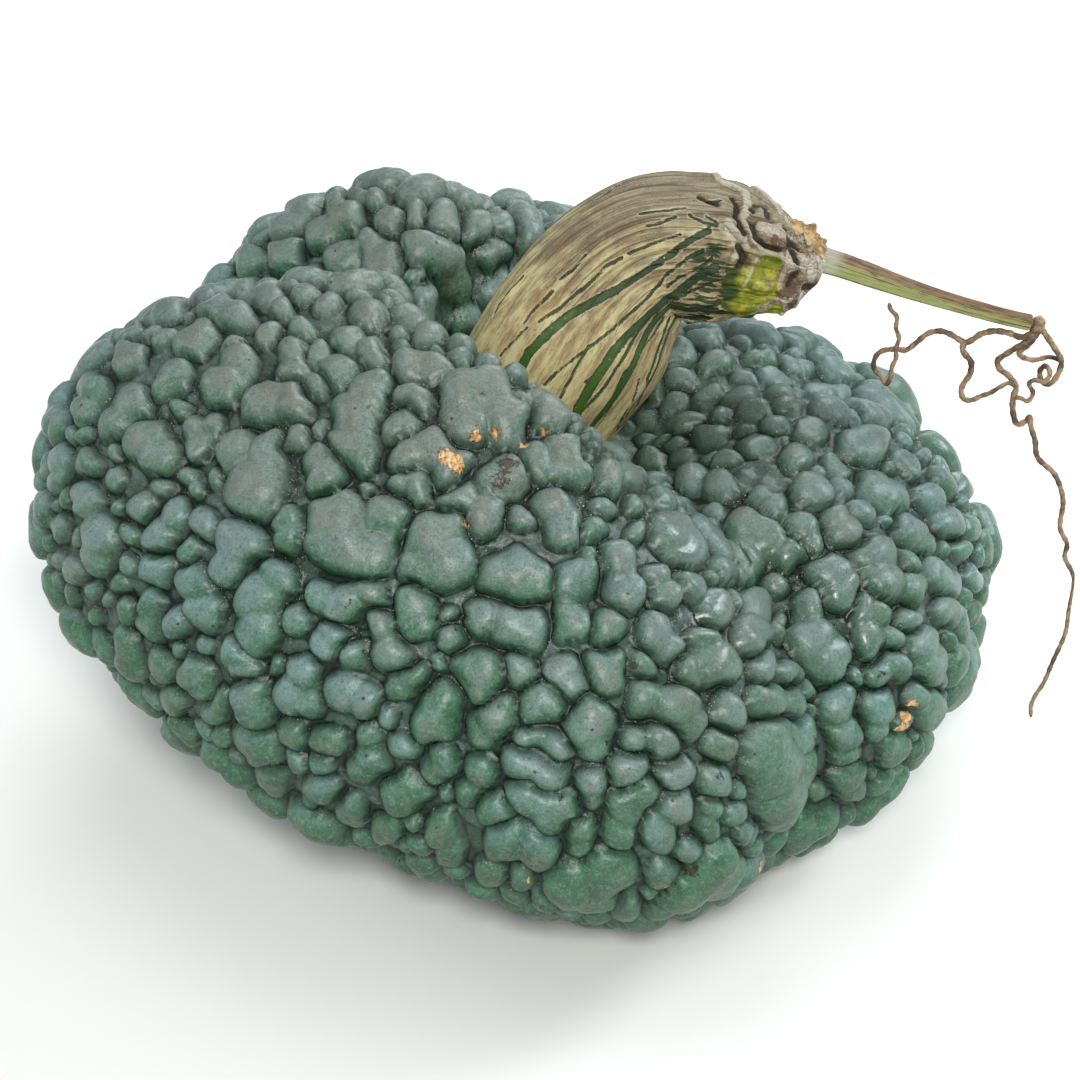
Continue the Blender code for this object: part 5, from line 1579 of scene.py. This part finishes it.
def strand_rings(rows, thick, sides):
    """A curling strand: rings carried along its line, swelling and thinning a little on the way."""
    line = curve_through([from_picture(*row) for row in rows], 9 * len(rows))
    s = np.linspace(0, 1, len(line))
    run = np.r_[0, np.cumsum(np.linalg.norm(np.diff(line, axis=0), axis=1))]
    radius = (thick + (STRAND_TIP - thick) * smooth(s)) * MM_PER_PX
    radius = radius * (1 + 0.10 * np.sin(run * 1.9) + 0.06 * np.sin(run * 4.3 + 1))
    radius[-3:] *= (0.9, 0.7, 0.4)
    return carried_rings(line, radius, sides), line


def make_tendrils():
    """All strands and the swollen end they spring from, as one piece."""
    points, faces = [], []
    parts = [close_tube(*strand_rings(rows, STRAND_RADIUS, 12)) for rows in STRANDS.values()]
    parts.append(knot_points(24))
    start = 0
    for part_points, part_faces in parts:
        points.append(part_points)
        faces.extend([[k + start for k in face] for face in part_faces])
        start += len(part_points)
    finish = dry_finish("dry_tendril", TENDRIL_TAN, TENDRIL_BROWN, 2.2)
    points = within_box(np.vstack(points), cad_box)
    return make_piece("curled_tendrils", points, faces, finish, "tendrils")


def knot_points(sides):
    """The swollen end of the stalk: radius 7.5 + 2 sin(pi s) pixels along it, 5 less at its tip."""
    a, b = (from_picture(*row) for row in KNOT)
    s = np.linspace(0, 1, 20)
    centre = a + (b - a) * s[:, None]
    radius = MM_PER_PX * (7.5 + 2.0 * np.sin(np.pi * s) - 5.0 * smooth((s - 0.7) / 0.3))
    normal = np.repeat(unit(b - a)[None], 20, 0)

    def radius_at(at, turn):
        return radius[:, None] * (1 + 0.08 * np.cos(5 * turn + 4 * at) + 0.05 * np.cos(9 * turn - 9 * at))

    return close_tube(tube_grid(centre, normal, radius_at, sides), centre)


def make_floor():
    """A plain pale floor, flat under the fruit and far wider than the picture."""
    mesh = bpy.data.meshes.new("floor")
    w = FLOOR_REACH
    mesh.from_pydata([(-w, -w, 0), (w, -w, 0), (w, w, 0), (-w, w, 0)], [], [(0, 1, 2, 3)])
    paint = Paint("floor_pale")
    roughness = 0.7 + paint.noise(20, 2.0) * 0.1
    mesh.materials.append(paint.finish(FLOOR_PALE, roughness, paint.bump(paint.noise(3.0), 0.01)))
    floor = bpy.data.objects.new("floor", mesh)
    bpy.context.scene.collection.objects.link(floor)


def make_light(name, place, width, watts, tint):
    """A soft square light that faces the fruit's middle."""
    light = bpy.data.lights.new(name, "AREA")
    light.shape = "SQUARE"
    light.size = width
    light.energy = watts
    light.color = tint
    item = bpy.data.objects.new(name, light)
    bpy.context.scene.collection.objects.link(item)
    item.location = place
    toward = np.array(LIT_POINT) - np.array(place)
    pitch = np.arctan2(np.hypot(toward[0], toward[1]), -toward[2])
    item.rotation_euler = (pitch, 0, np.arctan2(-toward[0], toward[1]))


def make_world():
    """A dim even sky round the object."""
    world = bpy.data.worlds.new("studio")
    world.use_nodes = True
    sky = world.node_tree.nodes["Background"]
    sky.inputs["Color"].default_value = (*SKY_TINT, 1)
    sky.inputs["Strength"].default_value = SKY_STRENGTH
    bpy.context.scene.world = world


def make_camera():
    """The photograph's own view: the aim point shows AIM_X, AIM_Y pixels from its top left corner."""
    lens = bpy.data.cameras.new("view")
    lens.lens = lens.sensor_width * DISTANCE / (MM_PER_PX * PICTURE)
    lens.shift_x = (PICTURE / 2 - AIM_X) / PICTURE
    lens.shift_y = (AIM_Y - PICTURE / 2) / PICTURE
    camera = bpy.data.objects.new("view", lens)
    bpy.context.scene.collection.objects.link(camera)
    camera.location = EYE * MM
    camera.rotation_euler = (np.pi / 2 - EYE_TURN, 0, 0)
    bpy.context.scene.camera = camera


make_rind()
make_stem()
make_bract()
make_stalk()
make_tendrils()
make_floor()
make_world()
for light_name, light_values in LIGHTS.items():
    make_light(light_name, *light_values)
make_camera()
bpy.context.scene.view_settings.view_transform = "Standard"
bpy.context.scene.view_settings.look = "Medium High Contrast"
